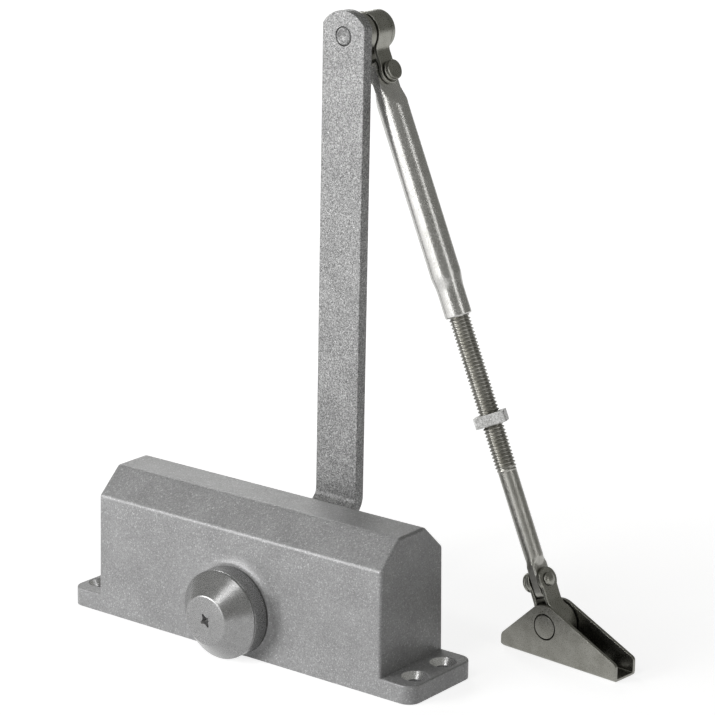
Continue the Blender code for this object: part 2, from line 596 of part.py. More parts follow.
def make_piston(frame):
    """Slotted piston with its rack, ring and ball check valve."""
    radius = BORE_RADIUS - GAP
    low = PISTON_RIGHT - 3 - RING_WIDTH
    high = PISTON_RIGHT - 3
    floor = radius - RING_DEPTH - GAP
    profile = [(0, PISTON_LEFT), (radius - 0.8, PISTON_LEFT), (radius, PISTON_LEFT + 0.8),
               (radius, low - GAP), (floor, low - GAP), (floor, high + GAP),
               (radius, high + GAP), (radius, PISTON_RIGHT - 0.8),
               (radius - 0.8, PISTON_RIGHT), (0, PISTON_RIGHT)]
    piston = add_object("piston", turned_mesh(profile, "X", MEDIUM), frame, "machined_steel")
    drop = PINION_HEIGHT - BORE_HEIGHT
    half = RACK_WIDTH / 2
    slot = prism_mesh(rack_slot_outline(), -half, half, centre=(0, 0, drop))
    combine(piston, slot, label="rack_slot")
    for side, label in ((-1, "front"), (1, "rear")):
        near, far = sorted((side * (half - 0.01), side * REACH))
        relief = box_mesh((SLOT_LEFT, near, -REACH), (SLOT_RIGHT, far, drop + SLOT_TOP))
        combine(piston, relief, label=f"{label}_relief")
    check_end = PISTON_LEFT + CHECK_BORE_DEPTH
    check = [(0, PISTON_LEFT - REACH), (CHECK_BORE_RADIUS, PISTON_LEFT - REACH),
             (CHECK_BORE_RADIUS, check_end), (1.5, check_end + 1.2),
             (1.5, SLOT_LEFT + 1), (0, SLOT_LEFT + 1)]
    valve = (0, 0, -CHECK_DROP)
    combine(piston, turned_mesh(check, "X", TINY, valve), label="check_bore")
    ring = ring_profile(radius - RING_DEPTH, radius, low, high)
    add_object("piston_ring", turned_mesh(ring, "X", MEDIUM), frame, "spring_steel")
    ball_centre = check_end - CHECK_BALL_RADIUS - 0.4
    ball = [(CHECK_BALL_RADIUS * math.sin(t), -CHECK_BALL_RADIUS * math.cos(t))
            for t in (math.pi * i / 6 for i in range(7))]
    ball[0], ball[-1] = (0, -CHECK_BALL_RADIUS), (0, CHECK_BALL_RADIUS)
    add_object("check_ball", turned_mesh(ball, "X", TINY, (ball_centre, 0, -CHECK_DROP)), frame,
               "bright_steel")
    retainer = ring_profile(1.2, CHECK_BORE_RADIUS - GAP, PISTON_LEFT + 0.4,
                            ball_centre - CHECK_BALL_RADIUS - 0.4)
    add_object("check_retainer", turned_mesh(retainer, "X", TINY, valve), frame,
               "machined_steel")


def make_spring(parent):
    """Compression spring between the piston and its seat at the blind end."""
    centre = (0, 0, BORE_HEIGHT)
    seat_low = BORE_END - GAP - SEAT_THICKNESS
    seat = ring_profile(6.0, BORE_RADIUS - 1.2, seat_low, BORE_END - GAP)
    add_object("spring_seat", turned_mesh(seat, "X", MEDIUM, centre), parent, "machined_steel")
    start = PISTON_RIGHT + GAP + SPRING_WIRE / 2
    end = seat_low - GAP - SPRING_WIRE / 2
    curve = bpy.data.curves.new("main_spring", "CURVE")
    curve.dimensions = "3D"
    curve.bevel_depth = SPRING_WIRE / 2 * MM
    curve.bevel_resolution = 1
    curve.use_fill_caps = True
    per_turn = 14
    count = int(SPRING_TURNS * per_turn)
    spline = curve.splines.new("POLY")
    spline.points.add(count)
    for number in range(count + 1):
        share = number / count
        turn = math.tau * number / per_turn
        eased = share - 0.12 * math.sin(math.tau * share) / math.tau
        x = start + (end - start) * eased
        y = SPRING_RADIUS * math.cos(turn)
        z = BORE_HEIGHT + SPRING_RADIUS * math.sin(turn)
        spline.points[number].co = (x * MM, y * MM, z * MM, 1)
    spring = bpy.data.objects.new("main_spring", curve)
    bpy.context.scene.collection.objects.link(spring)
    spring.parent = parent
    curve.materials.append(material("spring_steel"))


# ---- pinion, cap and main arm ------------------------------------------------------------------
def gear_outline():
    """(x, z) outline of the pinion's teeth, one tooth pointing up."""
    half_at_pitch = (math.pi * MODULE / 4 - BACKLASH / 2) / PITCH_RADIUS
    tip_radius = PITCH_RADIUS + ADDENDUM
    root_radius = PITCH_RADIUS - DEDENDUM
    tip_half = 0.42 / tip_radius
    root_half = half_at_pitch + 0.01
    points = []
    for number in range(TEETH):
        middle = math.pi / 2 + math.tau * number / TEETH
        for radius, swing in ((root_radius, -root_half), (PITCH_RADIUS, -half_at_pitch),
                              (tip_radius, -tip_half), (tip_radius, tip_half),
                              (PITCH_RADIUS, half_at_pitch), (root_radius, root_half)):
            points.append((radius * math.cos(middle + swing), radius * math.sin(middle + swing)))
    return points


def make_pinion(frame):
    """Pinion shaft: gear, journals, a square for the arm, a threaded hole for the cap."""
    front = -(NUT_FACE + STEM_PROUD)
    shoulder = NUT_FACE + SHAFT_PROUD
    square_end = HUB_OFFSET + ARM_THICKNESS - 0.5
    neck = GEAR_WIDTH / 2 - GAP
    core = PITCH_RADIUS - DEDENDUM - GAP
    profile = [(0, front), (JOURNAL_RADIUS, front), (JOURNAL_RADIUS, -neck), (core, -neck),
               (core, neck), (JOURNAL_RADIUS, neck), (JOURNAL_RADIUS, shoulder), (0, shoulder)]
    pinion = add_object("pinion", turned_mesh(profile, "Y", MEDIUM), frame, "machined_steel")
    gear = prism_mesh(gear_outline(), -GEAR_WIDTH / 2, GEAR_WIDTH / 2)
    combine(pinion, gear, "UNION", "gear")
    half = SQUARE_SIZE / 2
    square = rounded_box_outline(half, half, SQUARE_CORNER, steps=1)
    combine(pinion, prism_mesh(square, shoulder - 3, square_end), "UNION", "square")
    bolt_hole = rod_profile(BOLT_RADIUS + GAP, square_end - BOLT_REACH - 1, square_end + 5)
    combine(pinion, turned_mesh(bolt_hole, "Y", SMALL), label="bolt_hole")
    stem_hole = rod_profile(CAP_STEM_RADIUS + GAP, front - 5, front + 10)
    combine(pinion, turned_mesh(stem_hole, "Y", SMALL), label="stem_hole")


def make_cap(frame):
    """Coned cover over the front nut, screwed into the pinion by its stem."""
    base = -(BOSS_FACE + GAP)
    rim = base - CAP_RIM
    face = rim - CAP_CONE
    tip = -(NUT_FACE + STEM_PROUD) + 9
    inside = face + RECESS_DEPTH + 1.4
    edge = 0.6
    profile = [(0, tip), (CAP_STEM_RADIUS, tip), (CAP_STEM_RADIUS, inside),
               (CAP_FACE_RADIUS - 1.6, inside), (CAP_RADIUS - CAP_WALL, rim + 1.2),
               (CAP_RADIUS - CAP_WALL, base), (CAP_RADIUS - edge, base),
               (CAP_RADIUS, base - edge), (CAP_RADIUS, rim + edge),
               (CAP_RADIUS - 0.5 * edge, rim - 0.5 * edge),
               (CAP_FACE_RADIUS + edge, face + 0.75 * edge), (CAP_FACE_RADIUS - 0.4, face),
               (0, face)]
    cap = add_object("pinion_cap", turned_mesh(profile, "Y", FINE), frame, "sprayed_casting")
    for number, turn in enumerate((RECESS_TURN, RECESS_TURN + 90)):
        bm = bmesh.new()
        for depth, share in ((-1.0, 1.12), (RECESS_DEPTH, 0.55)):
            a, b = RECESS_SPAN / 2 * share, RECESS_SLOT / 2 * (0.5 + share / 2)
            corners = [bm.verts.new((x, face + depth, z))
                       for x, z in ((-a, -b), (a, -b), (a, b), (-a, b))]
            if depth < 0:
                outer = corners
        bm.faces.new(outer)
        bm.faces.new(corners)
        for i in range(4):
            j = (i + 1) % 4
            bm.faces.new((outer[i], outer[j], corners[j], corners[i]))
        bmesh.ops.rotate(bm, verts=bm.verts, cent=(0, 0, 0),
                         matrix=Matrix.Rotation(math.radians(turn), 3, "Y"))
        combine(cap, bm, label=f"recess_{number}")


def arm_side_profile():
    """(y, z) section of the joggled strip, from below the hub to above the elbow."""
    slope, bend = ARM_JOGGLE_SLOPE, ARM_BEND
    rise = ARM_FACE - HUB_OFFSET
    straight = (rise - 2 * bend * (1 - math.cos(slope))) / math.sin(slope)
    y, z = HUB_OFFSET + ARM_THICKNESS / 2, ARM_JOGGLE_START
    path = [(y, -ARM_WIDTH, 0.0)]
    steps = 4
    for i in range(steps + 1):
        turn = slope * i / steps
        path.append((y + bend * (1 - math.cos(turn)), z + bend * math.sin(turn), turn))
    y = path[-1][0] + straight * math.sin(slope)
    z = path[-1][1] + straight * math.cos(slope)
    for i in range(steps + 1):
        turn = slope * (1 - i / steps)
        path.append((y + bend * (math.cos(turn) - math.cos(slope)),
                     z + bend * (math.sin(slope) - math.sin(turn)), turn))
    path.append((path[-1][0], ARM_LENGTH + ARM_WIDTH, 0.0))
    half = ARM_THICKNESS / 2
    near = [(y - half * math.cos(turn), z + half * math.sin(turn)) for y, z, turn in path]
    far = [(y + half * math.cos(turn), z - half * math.sin(turn)) for y, z, turn in path]
    return near + far[::-1]


def make_main_arm(frame):
    """Joggled flat arm with a square hub hole and a rivet hole at the elbow."""
    half = ARM_WIDTH / 2
    arm = add_object("main_arm", prism_mesh(arm_side_profile(), -half, half, axis="X"), frame,
                     "sprayed_steel")
    sagitta = ARM_TOP - ARM_SHOULDER
    top_radius = (half * half + sagitta * sagitta) / (2 * sagitta)
    spread = math.degrees(math.asin(half / top_radius))
    top_centre = (0, ARM_LENGTH + ARM_TOP - top_radius)
    outline = arc((0, 0), half, 180, 360, 14)
    outline += arc(top_centre, top_radius, 90 - spread, 90 + spread, 10)
    combine(arm, prism_mesh(outline, HUB_OFFSET - 9, ARM_FACE + 19), "INTERSECT", "outline")
    bevel(arm, ARM_EDGE, segments=1, angle=50)
    across = SQUARE_SIZE / 2 + GAP
    square = rounded_box_outline(across, across, SQUARE_CORNER, steps=1)
    combine(arm, prism_mesh(square, 0, REACH), label="square_hole")
    hole = rod_profile(ELBOW_TIP_RADIUS + GAP, 0, 2 * REACH)
    combine(arm, turned_mesh(hole, "Y", FINE // 2, (0, 0, ARM_LENGTH)), label="rivet_hole")


def make_arm_fasteners(frame):
    """Washer and hexagon bolt that hold the arm on the pinion's square."""
    face = HUB_OFFSET + ARM_THICKNESS
    washer = ring_profile(BOLT_RADIUS + GAP, ARM_WASHER_RADIUS, face + GAP,
                          face + GAP + ARM_WASHER_THICKNESS)
    add_object("arm_washer", turned_mesh(washer, "Y", MEDIUM), frame, "plated_steel")
    under_head = face + 2 * GAP + ARM_WASHER_THICKNESS
    head = prism_mesh(hexagon(BOLT_HEAD_ACROSS), under_head, under_head + BOLT_HEAD_HEIGHT)
    bolt = add_object("arm_bolt", head, frame, "plated_steel")
    bevel(bolt, 0.5, segments=1, angle=50)
    tip = face - 0.5 - BOLT_REACH
    combine(bolt, turned_mesh(rod_profile(BOLT_RADIUS, tip, under_head + 1), "Y", SMALL),
            "UNION", "shank")


def make_elbow(frame):
    """Shouldered elbow rivet and the collar that spaces the knuckle off the arm."""
    centre = (0, 0, ARM_LENGTH)
    back = ELBOW_BACK
    head = ELBOW_PLANE + STRAP_WIDTH / 2 + GAP
    edge = 0.4
    profile = [(0, ARM_FACE), (ELBOW_TIP_RADIUS, ARM_FACE), (ELBOW_TIP_RADIUS, back),
               (EYE_PIN_RADIUS, back), (EYE_PIN_RADIUS, head), (ELBOW_HEAD_RADIUS - edge, head),
               (ELBOW_HEAD_RADIUS, head + edge),
               (ELBOW_HEAD_RADIUS, head + ELBOW_HEAD_THICKNESS - edge),
               (ELBOW_HEAD_RADIUS - edge, head + ELBOW_HEAD_THICKNESS),
               (0, head + ELBOW_HEAD_THICKNESS)]
    add_object("elbow_pin", turned_mesh(profile, "Y", FINE, centre), frame, "plated_steel")
    collar = ring_profile(EYE_PIN_RADIUS + GAP, ELBOW_COLLAR_RADIUS, back,
                          back + ELBOW_COLLAR_THICKNESS, edge=0.5)
    add_object("elbow_collar", turned_mesh(collar, "Y", FINE, centre), frame, "plated_steel")


# ---- knuckles ---------------------------------------------------------------------------------
def strap_outline():
    """(x, z) outline of the strap: a leg, round the eye, and the other leg. The eye's axis
    is the origin and the legs run down."""
    leg_outer = LEG_HALF_GAP + STRAP
    bend_x = leg_outer + NECK_RADIUS
    bend_z = -math.sqrt((EYE_RADIUS + NECK_RADIUS) ** 2 - bend_x ** 2)
    tangent = math.degrees(math.atan2(bend_z, bend_x))
    tail = -(KNUCKLE_REACH + LEG_END_RADIUS + 2)
    outer = [(leg_outer, tail)]
    outer += arc((bend_x, bend_z), NECK_RADIUS, 180, 180 + tangent, 4)
    outer += arc((0, 0), EYE_RADIUS, tangent, 180 - tangent, EYE_STEPS)[1:]
    outer += arc((-bend_x, bend_z), NECK_RADIUS, -tangent, 0, 4)[1:]
    outer += [(-leg_outer, tail)]
    wide = NECK_RADIUS + STRAP
    inner = [(-LEG_HALF_GAP, tail)]
    inner += arc((-bend_x, bend_z), wide, 0, -tangent, 4)
    inner += arc((0, 0), EYE_INNER, 180 - tangent, tangent, EYE_STEPS)[1:]
    inner += arc((bend_x, bend_z), wide, 180 + tangent, 180, 4)[1:]
    inner += [(LEG_HALF_GAP, tail)]
    return outer + inner


def make_knuckle(name, frame, drop):
    """Strap bent round a pin; drop is the eye's height above the frame's origin."""
    bm = prism_mesh(strap_outline(), -LEG_END_RADIUS - 1, LEG_END_RADIUS + 1,
                    centre=(0, 0, drop))
    knuckle = add_object(name, bm, frame, "plated_steel")
    half = STRAP_WIDTH / 2
    rivet = drop - KNUCKLE_REACH
    swell = math.degrees(math.acos(half / LEG_END_RADIUS))
    outline = [(half, drop + EYE_RADIUS + 3), (-half, drop + EYE_RADIUS + 3)]
    outline += arc((0, rivet), LEG_END_RADIUS, 180 - swell, 360 + swell, 12)
    side = prism_mesh(outline, -EYE_RADIUS - 3, EYE_RADIUS + 3, axis="X")
    combine(knuckle, side, "INTERSECT", "outline")
    hole = rod_profile(RIVET_RADIUS + GAP, -REACH, REACH)
    combine(knuckle, turned_mesh(hole, "X", SMALL, (0, 0, rivet)), label="rivet_hole")


def make_rivet(name, frame, drop, side):
    """Rivet through a knuckle's legs: a stepped head on one side, a peened dome opposite."""
    face = LEG_HALF_GAP + STRAP + GAP
    step = face + 1.1
    top = face + RIVET_HEAD_HEIGHT
    edge = 0.35
    profile = [(0, -face - RIVET_DOME_HEIGHT)]
    for share in (0.5, 0.85, 1.0):
        rise = math.sqrt(1 - share * share) if share < 1 else 0
        profile.append((RIVET_DOME_RADIUS * share, -face - RIVET_DOME_HEIGHT * rise))
    profile += [(RIVET_RADIUS, -face), (RIVET_RADIUS, face), (RIVET_HEAD_RADIUS, face),
                (RIVET_HEAD_RADIUS, step - edge), (RIVET_HEAD_RADIUS - edge, step),
                (RIVET_HEAD_RADIUS - edge, step + edge), (RIVET_HEAD_RADIUS, step + 2 * edge),
                (RIVET_HEAD_RADIUS, top - edge), (RIVET_HEAD_RADIUS - edge, top), (0, top)]
    mirrored = [(r, side * x) for r, x in profile]
    bm = turned_mesh(mirrored, "X", SMALL, (0, 0, drop - KNUCKLE_REACH))
    add_object(name, bm, frame, "plated_steel")


# ---- forearm ----------------------------------------------------------------------------------
def make_forearm_tube(frame):
    """Round bar with a flattened tongue above and a threaded bore below."""
    edge = 0.5
    bore = THREAD_RADIUS + GAP
    profile = [(0, TUBE_TONGUE_TOP), (TUBE_RADIUS, TUBE_TONGUE_TOP),
               (TUBE_RADIUS, -TUBE_FULL_END), (TUBE_NECK_RADIUS, -TUBE_NECK_START),
               (TUBE_NECK_RADIUS, -TUBE_END + edge), (TUBE_NECK_RADIUS - edge, -TUBE_END),
               (bore, -TUBE_END), (bore, -TUBE_BORE_START), (0, -TUBE_BORE_START + 2)]
    tube = add_object("forearm_tube", turned_mesh(profile, "Z", MEDIUM), frame, "plated_steel")
    for side, label in ((-1, "left"), (1, "right")):
        run = TUBE_ROUND_START - TUBE_FLAT_END
        ramp = [(TONGUE_HALF + (TUBE_RADIUS + 0.2 - TONGUE_HALF) * (i / 4) ** 1.6,
                 -TUBE_FLAT_END - run * i / 4) for i in range(5)]
        outline = [(TONGUE_HALF, TUBE_TONGUE_TOP + 2)] + ramp
        outline += [(TUBE_RADIUS + 4, -TUBE_ROUND_START), (TUBE_RADIUS + 4, TUBE_TONGUE_TOP + 2)]
        flat = prism_mesh([(side * x, z) for x, z in outline], -REACH / 4, REACH / 4)
        combine(tube, flat, label=f"{label}_flat")
    top = TUBE_TONGUE_TOP
    wide = TUBE_RADIUS + 2
    crown = arc((0, 0), top, 20, 160, 10) + [(-wide, arc((0, 0), top, 20, 160, 1)[0][1])]
    crown += [(-wide, top + 4), (wide, top + 4), (wide, crown[0][1])]
    combine(tube, prism_mesh(crown, -wide, wide, axis="X"), label="crown")
    hole = rod_profile(RIVET_RADIUS + GAP, -REACH, REACH)
    combine(tube, turned_mesh(hole, "X", SMALL), label="rivet_hole")


def make_threaded_rod(frame):
    """Rod that screws into the tube; its origin is the lower rivet."""
    top = FOREARM_LENGTH - ROD_TOP
    thread_end = FOREARM_LENGTH - THREAD_END
    round_end = FOREARM_LENGTH - ROD_ROUND_END
    profile = [(0, top), (THREAD_RADIUS - 0.8, top), (THREAD_RADIUS, top - 0.8),
               (THREAD_RADIUS, thread_end), (SHANK_RADIUS, thread_end - 0.5),
               (SHANK_RADIUS, round_end - 2), (0, round_end - 2)]
    rod = add_object("threaded_rod", turned_mesh(profile, "Z", SMALL), frame, "plated_steel")
    combine(rod, rod_tongue_mesh(round_end), "UNION", "tongue")
    hole = rod_profile(RIVET_RADIUS + GAP, -REACH, REACH)
    combine(rod, turned_mesh(hole, "X", SMALL), label="rivet_hole")


def rod_tongue_mesh(round_end):
    """Pressed end: sections that go from round to a flat, wide tongue."""
    bm = bmesh.new()
    sides = 20
    press = ROD_PRESS_LENGTH
    stations = [(round_end, 0.0), (round_end - 0.34 * press, 0.25),
                (round_end - 0.68 * press, 0.75), (round_end - press, 1.0), (2.0, 1.0),
                (-3.5, 1.0), (-5.6, 1.0), (-ROD_TONGUE_BOTTOM, 1.0)]
    shrink = {-5.6: 0.86, -ROD_TONGUE_BOTTOM: 0.62}
    rings = []
    for z, share in stations:
        wide = SHANK_RADIUS * 0.985 + (ROD_TONGUE_HALF_WIDTH - SHANK_RADIUS * 0.985) * share
        thick = SHANK_RADIUS * 0.985 + (TONGUE_HALF - SHANK_RADIUS * 0.985) * share
        power = 1.0 - 0.72 * share
        ring = []
        for i in range(sides):
            t = math.tau * (i + 0.5) / sides
            c, s = math.cos(t), math.sin(t)
            x = thick * math.copysign(abs(c) ** power, c)
            y = wide * shrink.get(z, 1.0) * math.copysign(abs(s) ** power, s)
            ring.append(bm.verts.new((x, y, z)))
        rings.append(ring)
    for upper, lower in zip(rings, rings[1:]):
        for i in range(sides):
            j = (i + 1) % sides
            bm.faces.new((upper[i], upper[j], lower[j], lower[i]))
    bm.faces.new(rings[0])
    bm.faces.new(rings[-1])
    return bm


def make_lock_nut(matrix):
    """Square lock nut on the thread, on a frame of its own."""
    centre = matrix @ Vector((0, 0, (FOREARM_LENGTH - NUT_CENTRE) * MM))
    own = matrix.copy()
    own.translation = centre
    frame = add_frame("lock_nut_frame", own)
    half = NUT_THICKNESS / 2
    side = NUT_ACROSS / 2
    bm = prism_mesh(rounded_box_outline(side, side, NUT_CORNER, steps=2), -half, half, axis="Z")
    bmesh.ops.rotate(bm, verts=bm.verts, cent=(0, 0, 0), matrix=Matrix.Rotation(NUT_TURN, 3, "Z"))
    nut = add_object("lock_nut", bm, frame, "plated_steel")
    bevel(nut, NUT_EDGE, segments=1, angle=50)
    hole = rod_profile(THREAD_RADIUS + GAP, -REACH, REACH)
    combine(nut, turned_mesh(hole, "Z", SMALL), label="thread_hole")


# ---- shoe -------------------------------------------------------------------------------------
def shoe_side_outline():
    """(x, z) outline of a shoe wall about the pin axis."""
    short, long = SHOE_SHORT_SLOPE, SHOE_LONG_SLOPE
    floor = -SHOE_PIN_HEIGHT
    ear = SHOE_EAR_RADIUS
    long_top = (SHOE_AHEAD, -SHOE_LONG_DROP)
    short_top = (-SHOE_BEHIND, -SHOE_SHORT_DROP)
    cut = SHOE_CORNER
    foot = SHOE_FOOT_CORNER
    points = [(-SHOE_BEHIND + cut, floor - 1), (SHOE_AHEAD - foot, floor - 1),
              (SHOE_AHEAD - foot, floor), (SHOE_AHEAD, floor + foot),
              (SHOE_AHEAD, long_top[1] - cut),
              (SHOE_AHEAD - cut * math.cos(long), long_top[1] + cut * math.sin(long))]
    points += arc((0, 0), ear, 90 - math.degrees(long), 90 + math.degrees(short), 12)
    points += [(-SHOE_BEHIND + cut * math.cos(short), short_top[1] + cut * math.sin(short)),
               (-SHOE_BEHIND, short_top[1] - cut), (-SHOE_BEHIND, floor + cut),
               (-SHOE_BEHIND + cut, floor)]
    return points


def channel_section():
    """(y, z) section of the folded channel, its web on the mounting plane."""
    half = SHOE_WIDTH / 2
    floor = -SHOE_PIN_HEIGHT
    bend = SHOE_BEND
    inner_bend = max(bend - SHOE_WALL, 0.3)
    top = SHOE_EAR_RADIUS + 2
    outer = [(half, top)] + arc((half - bend, floor + bend), bend, 0, -90, 3)
    outer += arc((-half + bend, floor + bend), bend, 270, 180, 3) + [(-half, top)]
    inside = half - SHOE_WALL
    level = floor + SHOE_WALL
    inner = [(-inside, top)]
    inner += arc((-inside + inner_bend, level + inner_bend), inner_bend, 180, 270, 2)
    inner += arc((inside - inner_bend, level + inner_bend), inner_bend, -90, 0, 2)
    inner += [(inside, top)]
    return outer + inner


def make_shoe(frame):
    """Folded sheet channel that screws to the frame, and its flush pin."""
    reach = max(SHOE_AHEAD, SHOE_BEHIND) + 5
    shoe = add_object("shoe", prism_mesh(channel_section(), -reach, reach, axis="X"), frame,
                      "plated_steel")
    outline = prism_mesh(shoe_side_outline(), -SHOE_WIDTH, SHOE_WIDTH)
    combine(shoe, outline, "INTERSECT", "outline")
    pin_hole = rod_profile(SHOE_PIN_RADIUS + GAP, -REACH, REACH)
    combine(shoe, turned_mesh(pin_hole, "Y", MEDIUM), label="pin_hole")
    floor = -SHOE_PIN_HEIGHT
    for number, x in enumerate(SHOE_HOLES):
        hole = rod_profile(SHOE_HOLE_RADIUS, floor - 5, floor + SHOE_WALL + 2)
        combine(shoe, turned_mesh(hole, "Z", TINY, (x, 0, 0)), label=f"screw_hole_{number}")
    half = SHOE_WIDTH / 2
    shoulder = half - SHOE_WALL - GAP
    edge = 0.3
    profile = [(0, -half), (SHOE_PIN_RADIUS - edge, -half), (SHOE_PIN_RADIUS, -half + edge),
               (SHOE_PIN_RADIUS, -shoulder), (EYE_PIN_RADIUS, -shoulder),
               (EYE_PIN_RADIUS, shoulder), (SHOE_PIN_RADIUS, shoulder),
               (SHOE_PIN_RADIUS, half - edge), (SHOE_PIN_RADIUS - edge, half), (0, half)]
    add_object("shoe_pin", turned_mesh(profile, "Y", MEDIUM), frame, "plated_steel")


# ---- assembly ---------------------------------------------------------------------------------
def build():
    for old in list(bpy.data.objects):
        bpy.data.objects.remove(old, do_unlink=True)
    base = add_frame("housing_frame", Matrix.Identity(4))
    make_housing(base)
    make_end_plug(base)
    make_pinion_carriers(base)
    make_spring(base)
    make_valves()

    bore = add_frame("piston_frame", Matrix.Translation(Vector((0, 0, BORE_HEIGHT)) * MM))
    make_piston(bore)

    across = WORLD_Y.cross(ARM_DIRECTION)
    arm = add_frame("arm_frame", frame_matrix(PINION_POINT, across, WORLD_Y, ARM_DIRECTION))
    make_pinion(arm)
    make_cap(arm)
    make_main_arm(arm)
    make_arm_fasteners(arm)
    make_elbow(arm)

    frames = linkage(solve_swing())
    knuckle = add_frame("upper_knuckle_frame", frames["knuckle"])
    make_knuckle("upper_knuckle", knuckle, 0)
    make_rivet("upper_rivet", knuckle, 0, 1)
    forearm = add_frame("forearm_frame", frames["forearm"])
    make_forearm_tube(forearm)
    rod = add_frame("rod_frame", frames["rod"])
    make_threaded_rod(rod)
    make_lock_nut(frames["rod"])
    lower = add_frame("lower_knuckle_frame", frames["lower"])
    make_lower_knuckle(lower)
    make_shoe(add_frame("shoe_frame", frames["shoe"]))
    bpy.context.view_layer.update()


def make_lower_knuckle(frame):
    """The same strap upside down: its eye is on the shoe's pin, below the rivet."""
    turned = add_frame("lower_knuckle_turn", frame.matrix_world
                       @ Matrix.Rotation(math.pi, 4, "X"))
    make_knuckle("lower_knuckle", turned, KNUCKLE_REACH)
    make_rivet("lower_rivet", turned, KNUCKLE_REACH, -1)


build()
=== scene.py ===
import json
import math

import bmesh
import bpy
from mathutils import Matrix, Vector


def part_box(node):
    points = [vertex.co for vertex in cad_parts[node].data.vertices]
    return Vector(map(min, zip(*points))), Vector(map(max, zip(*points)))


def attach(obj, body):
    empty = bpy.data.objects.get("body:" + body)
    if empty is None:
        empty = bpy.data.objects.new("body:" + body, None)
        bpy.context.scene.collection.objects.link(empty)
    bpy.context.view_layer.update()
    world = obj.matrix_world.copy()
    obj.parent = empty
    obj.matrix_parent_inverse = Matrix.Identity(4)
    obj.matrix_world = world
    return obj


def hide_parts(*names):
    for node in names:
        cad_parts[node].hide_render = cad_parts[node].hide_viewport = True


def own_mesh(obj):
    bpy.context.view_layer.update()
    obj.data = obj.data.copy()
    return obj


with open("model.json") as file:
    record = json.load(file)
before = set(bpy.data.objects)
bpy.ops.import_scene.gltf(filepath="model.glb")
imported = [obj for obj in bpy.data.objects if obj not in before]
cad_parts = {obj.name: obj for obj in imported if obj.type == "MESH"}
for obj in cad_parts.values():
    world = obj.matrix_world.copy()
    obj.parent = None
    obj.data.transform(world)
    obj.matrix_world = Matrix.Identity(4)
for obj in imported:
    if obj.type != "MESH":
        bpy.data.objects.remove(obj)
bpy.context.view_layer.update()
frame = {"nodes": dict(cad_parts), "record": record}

MM = 0.001
REACH = 80.0              # how far a cutter runs out into the open


# ---- frames of the moving bodies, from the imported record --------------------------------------
JOINTS = {joint["name"]: joint for joint in frame["record"]["behaviour"]["joints"]}


def joint_point(name):
    return Vector(JOINTS[name]["pos_m"])


def joint_axis(name):
    return Vector(JOINTS[name]["axis"]).normalized()


def frame_matrix(origin, x_axis, y_axis, z_axis):
    matrix = Matrix((x_axis, y_axis, z_axis)).transposed().to_4x4()
    matrix.translation = origin
    return matrix


WORLD_Y = Vector((0, 1, 0))
PINION = joint_point("arm_swing")
ELBOW = joint_point("elbow")
along_arm = (ELBOW - PINION) - WORLD_Y * (ELBOW - PINION).y
ARM_LENGTH = along_arm.length / MM
along_arm.normalize()
ARM = frame_matrix(PINION, WORLD_Y.cross(along_arm), WORLD_Y, along_arm)

upper_rivet = joint_point("upper_rivet_pivot")
up = (ELBOW - upper_rivet).normalized()
KNUCKLE = frame_matrix(ELBOW, joint_axis("upper_rivet_pivot"), WORLD_Y, up)

up = -joint_axis("forearm_length")
axis = joint_axis("upper_rivet_pivot")
FOREARM = frame_matrix(upper_rivet, axis, up.cross(axis), up)

lower_rivet = joint_point("lower_rivet_pivot")
axis = joint_axis("lower_rivet_pivot")
ROD = frame_matrix(lower_rivet, axis, up.cross(axis), up)
FOREARM_LENGTH = (upper_rivet - lower_rivet).length / MM

shoe_pin_point = joint_point("shoe_hinge")
across = joint_axis("shoe_hinge")
up = (shoe_pin_point - lower_rivet).normalized()
LOWER = frame_matrix(shoe_pin_point, axis, -across, up)
SHOE = frame_matrix(shoe_pin_point, across.cross(Vector((0, 0, 1))), across, Vector((0, 0, 1)))
low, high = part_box("lock_nut")
NUT = ROD.copy()
NUT.translation = (Vector(low) + Vector(high)) / 2
HOUSING = Matrix.Identity(4)


# ---- materials --------------------------------------------------------------------------------
def node(tree, kind, at, **settings):
    made = tree.nodes.new(kind)
    made.location = at
    for name, value in settings.items():
        if name in made.inputs:
            made.inputs[name].default_value = value
        else:
            setattr(made, name, value)
    return made


def new_material(name, roughness, metallic):
    """Principled material; returns it, its tree and its shader."""
    made = bpy.data.materials.new(name)
    made.use_nodes = True
    shader = made.node_tree.nodes["Principled BSDF"]
    shader.inputs["Roughness"].default_value = roughness
    shader.inputs["Metallic"].default_value = metallic
    return made, made.node_tree, shader


def ramp(tree, source, stops, at):
    """Colour ramp fed by source; stops are (place, colour)."""
    made = node(tree, "ShaderNodeValToRGB", at)
    elements = made.color_ramp.elements
    while len(elements) < len(stops):
        elements.new(0.5)
    for element, (place, colour) in zip(elements, stops):
        element.position = place
        element.color = (*colour, 1.0)
    tree.links.new(source, made.inputs["Fac"])
    return made


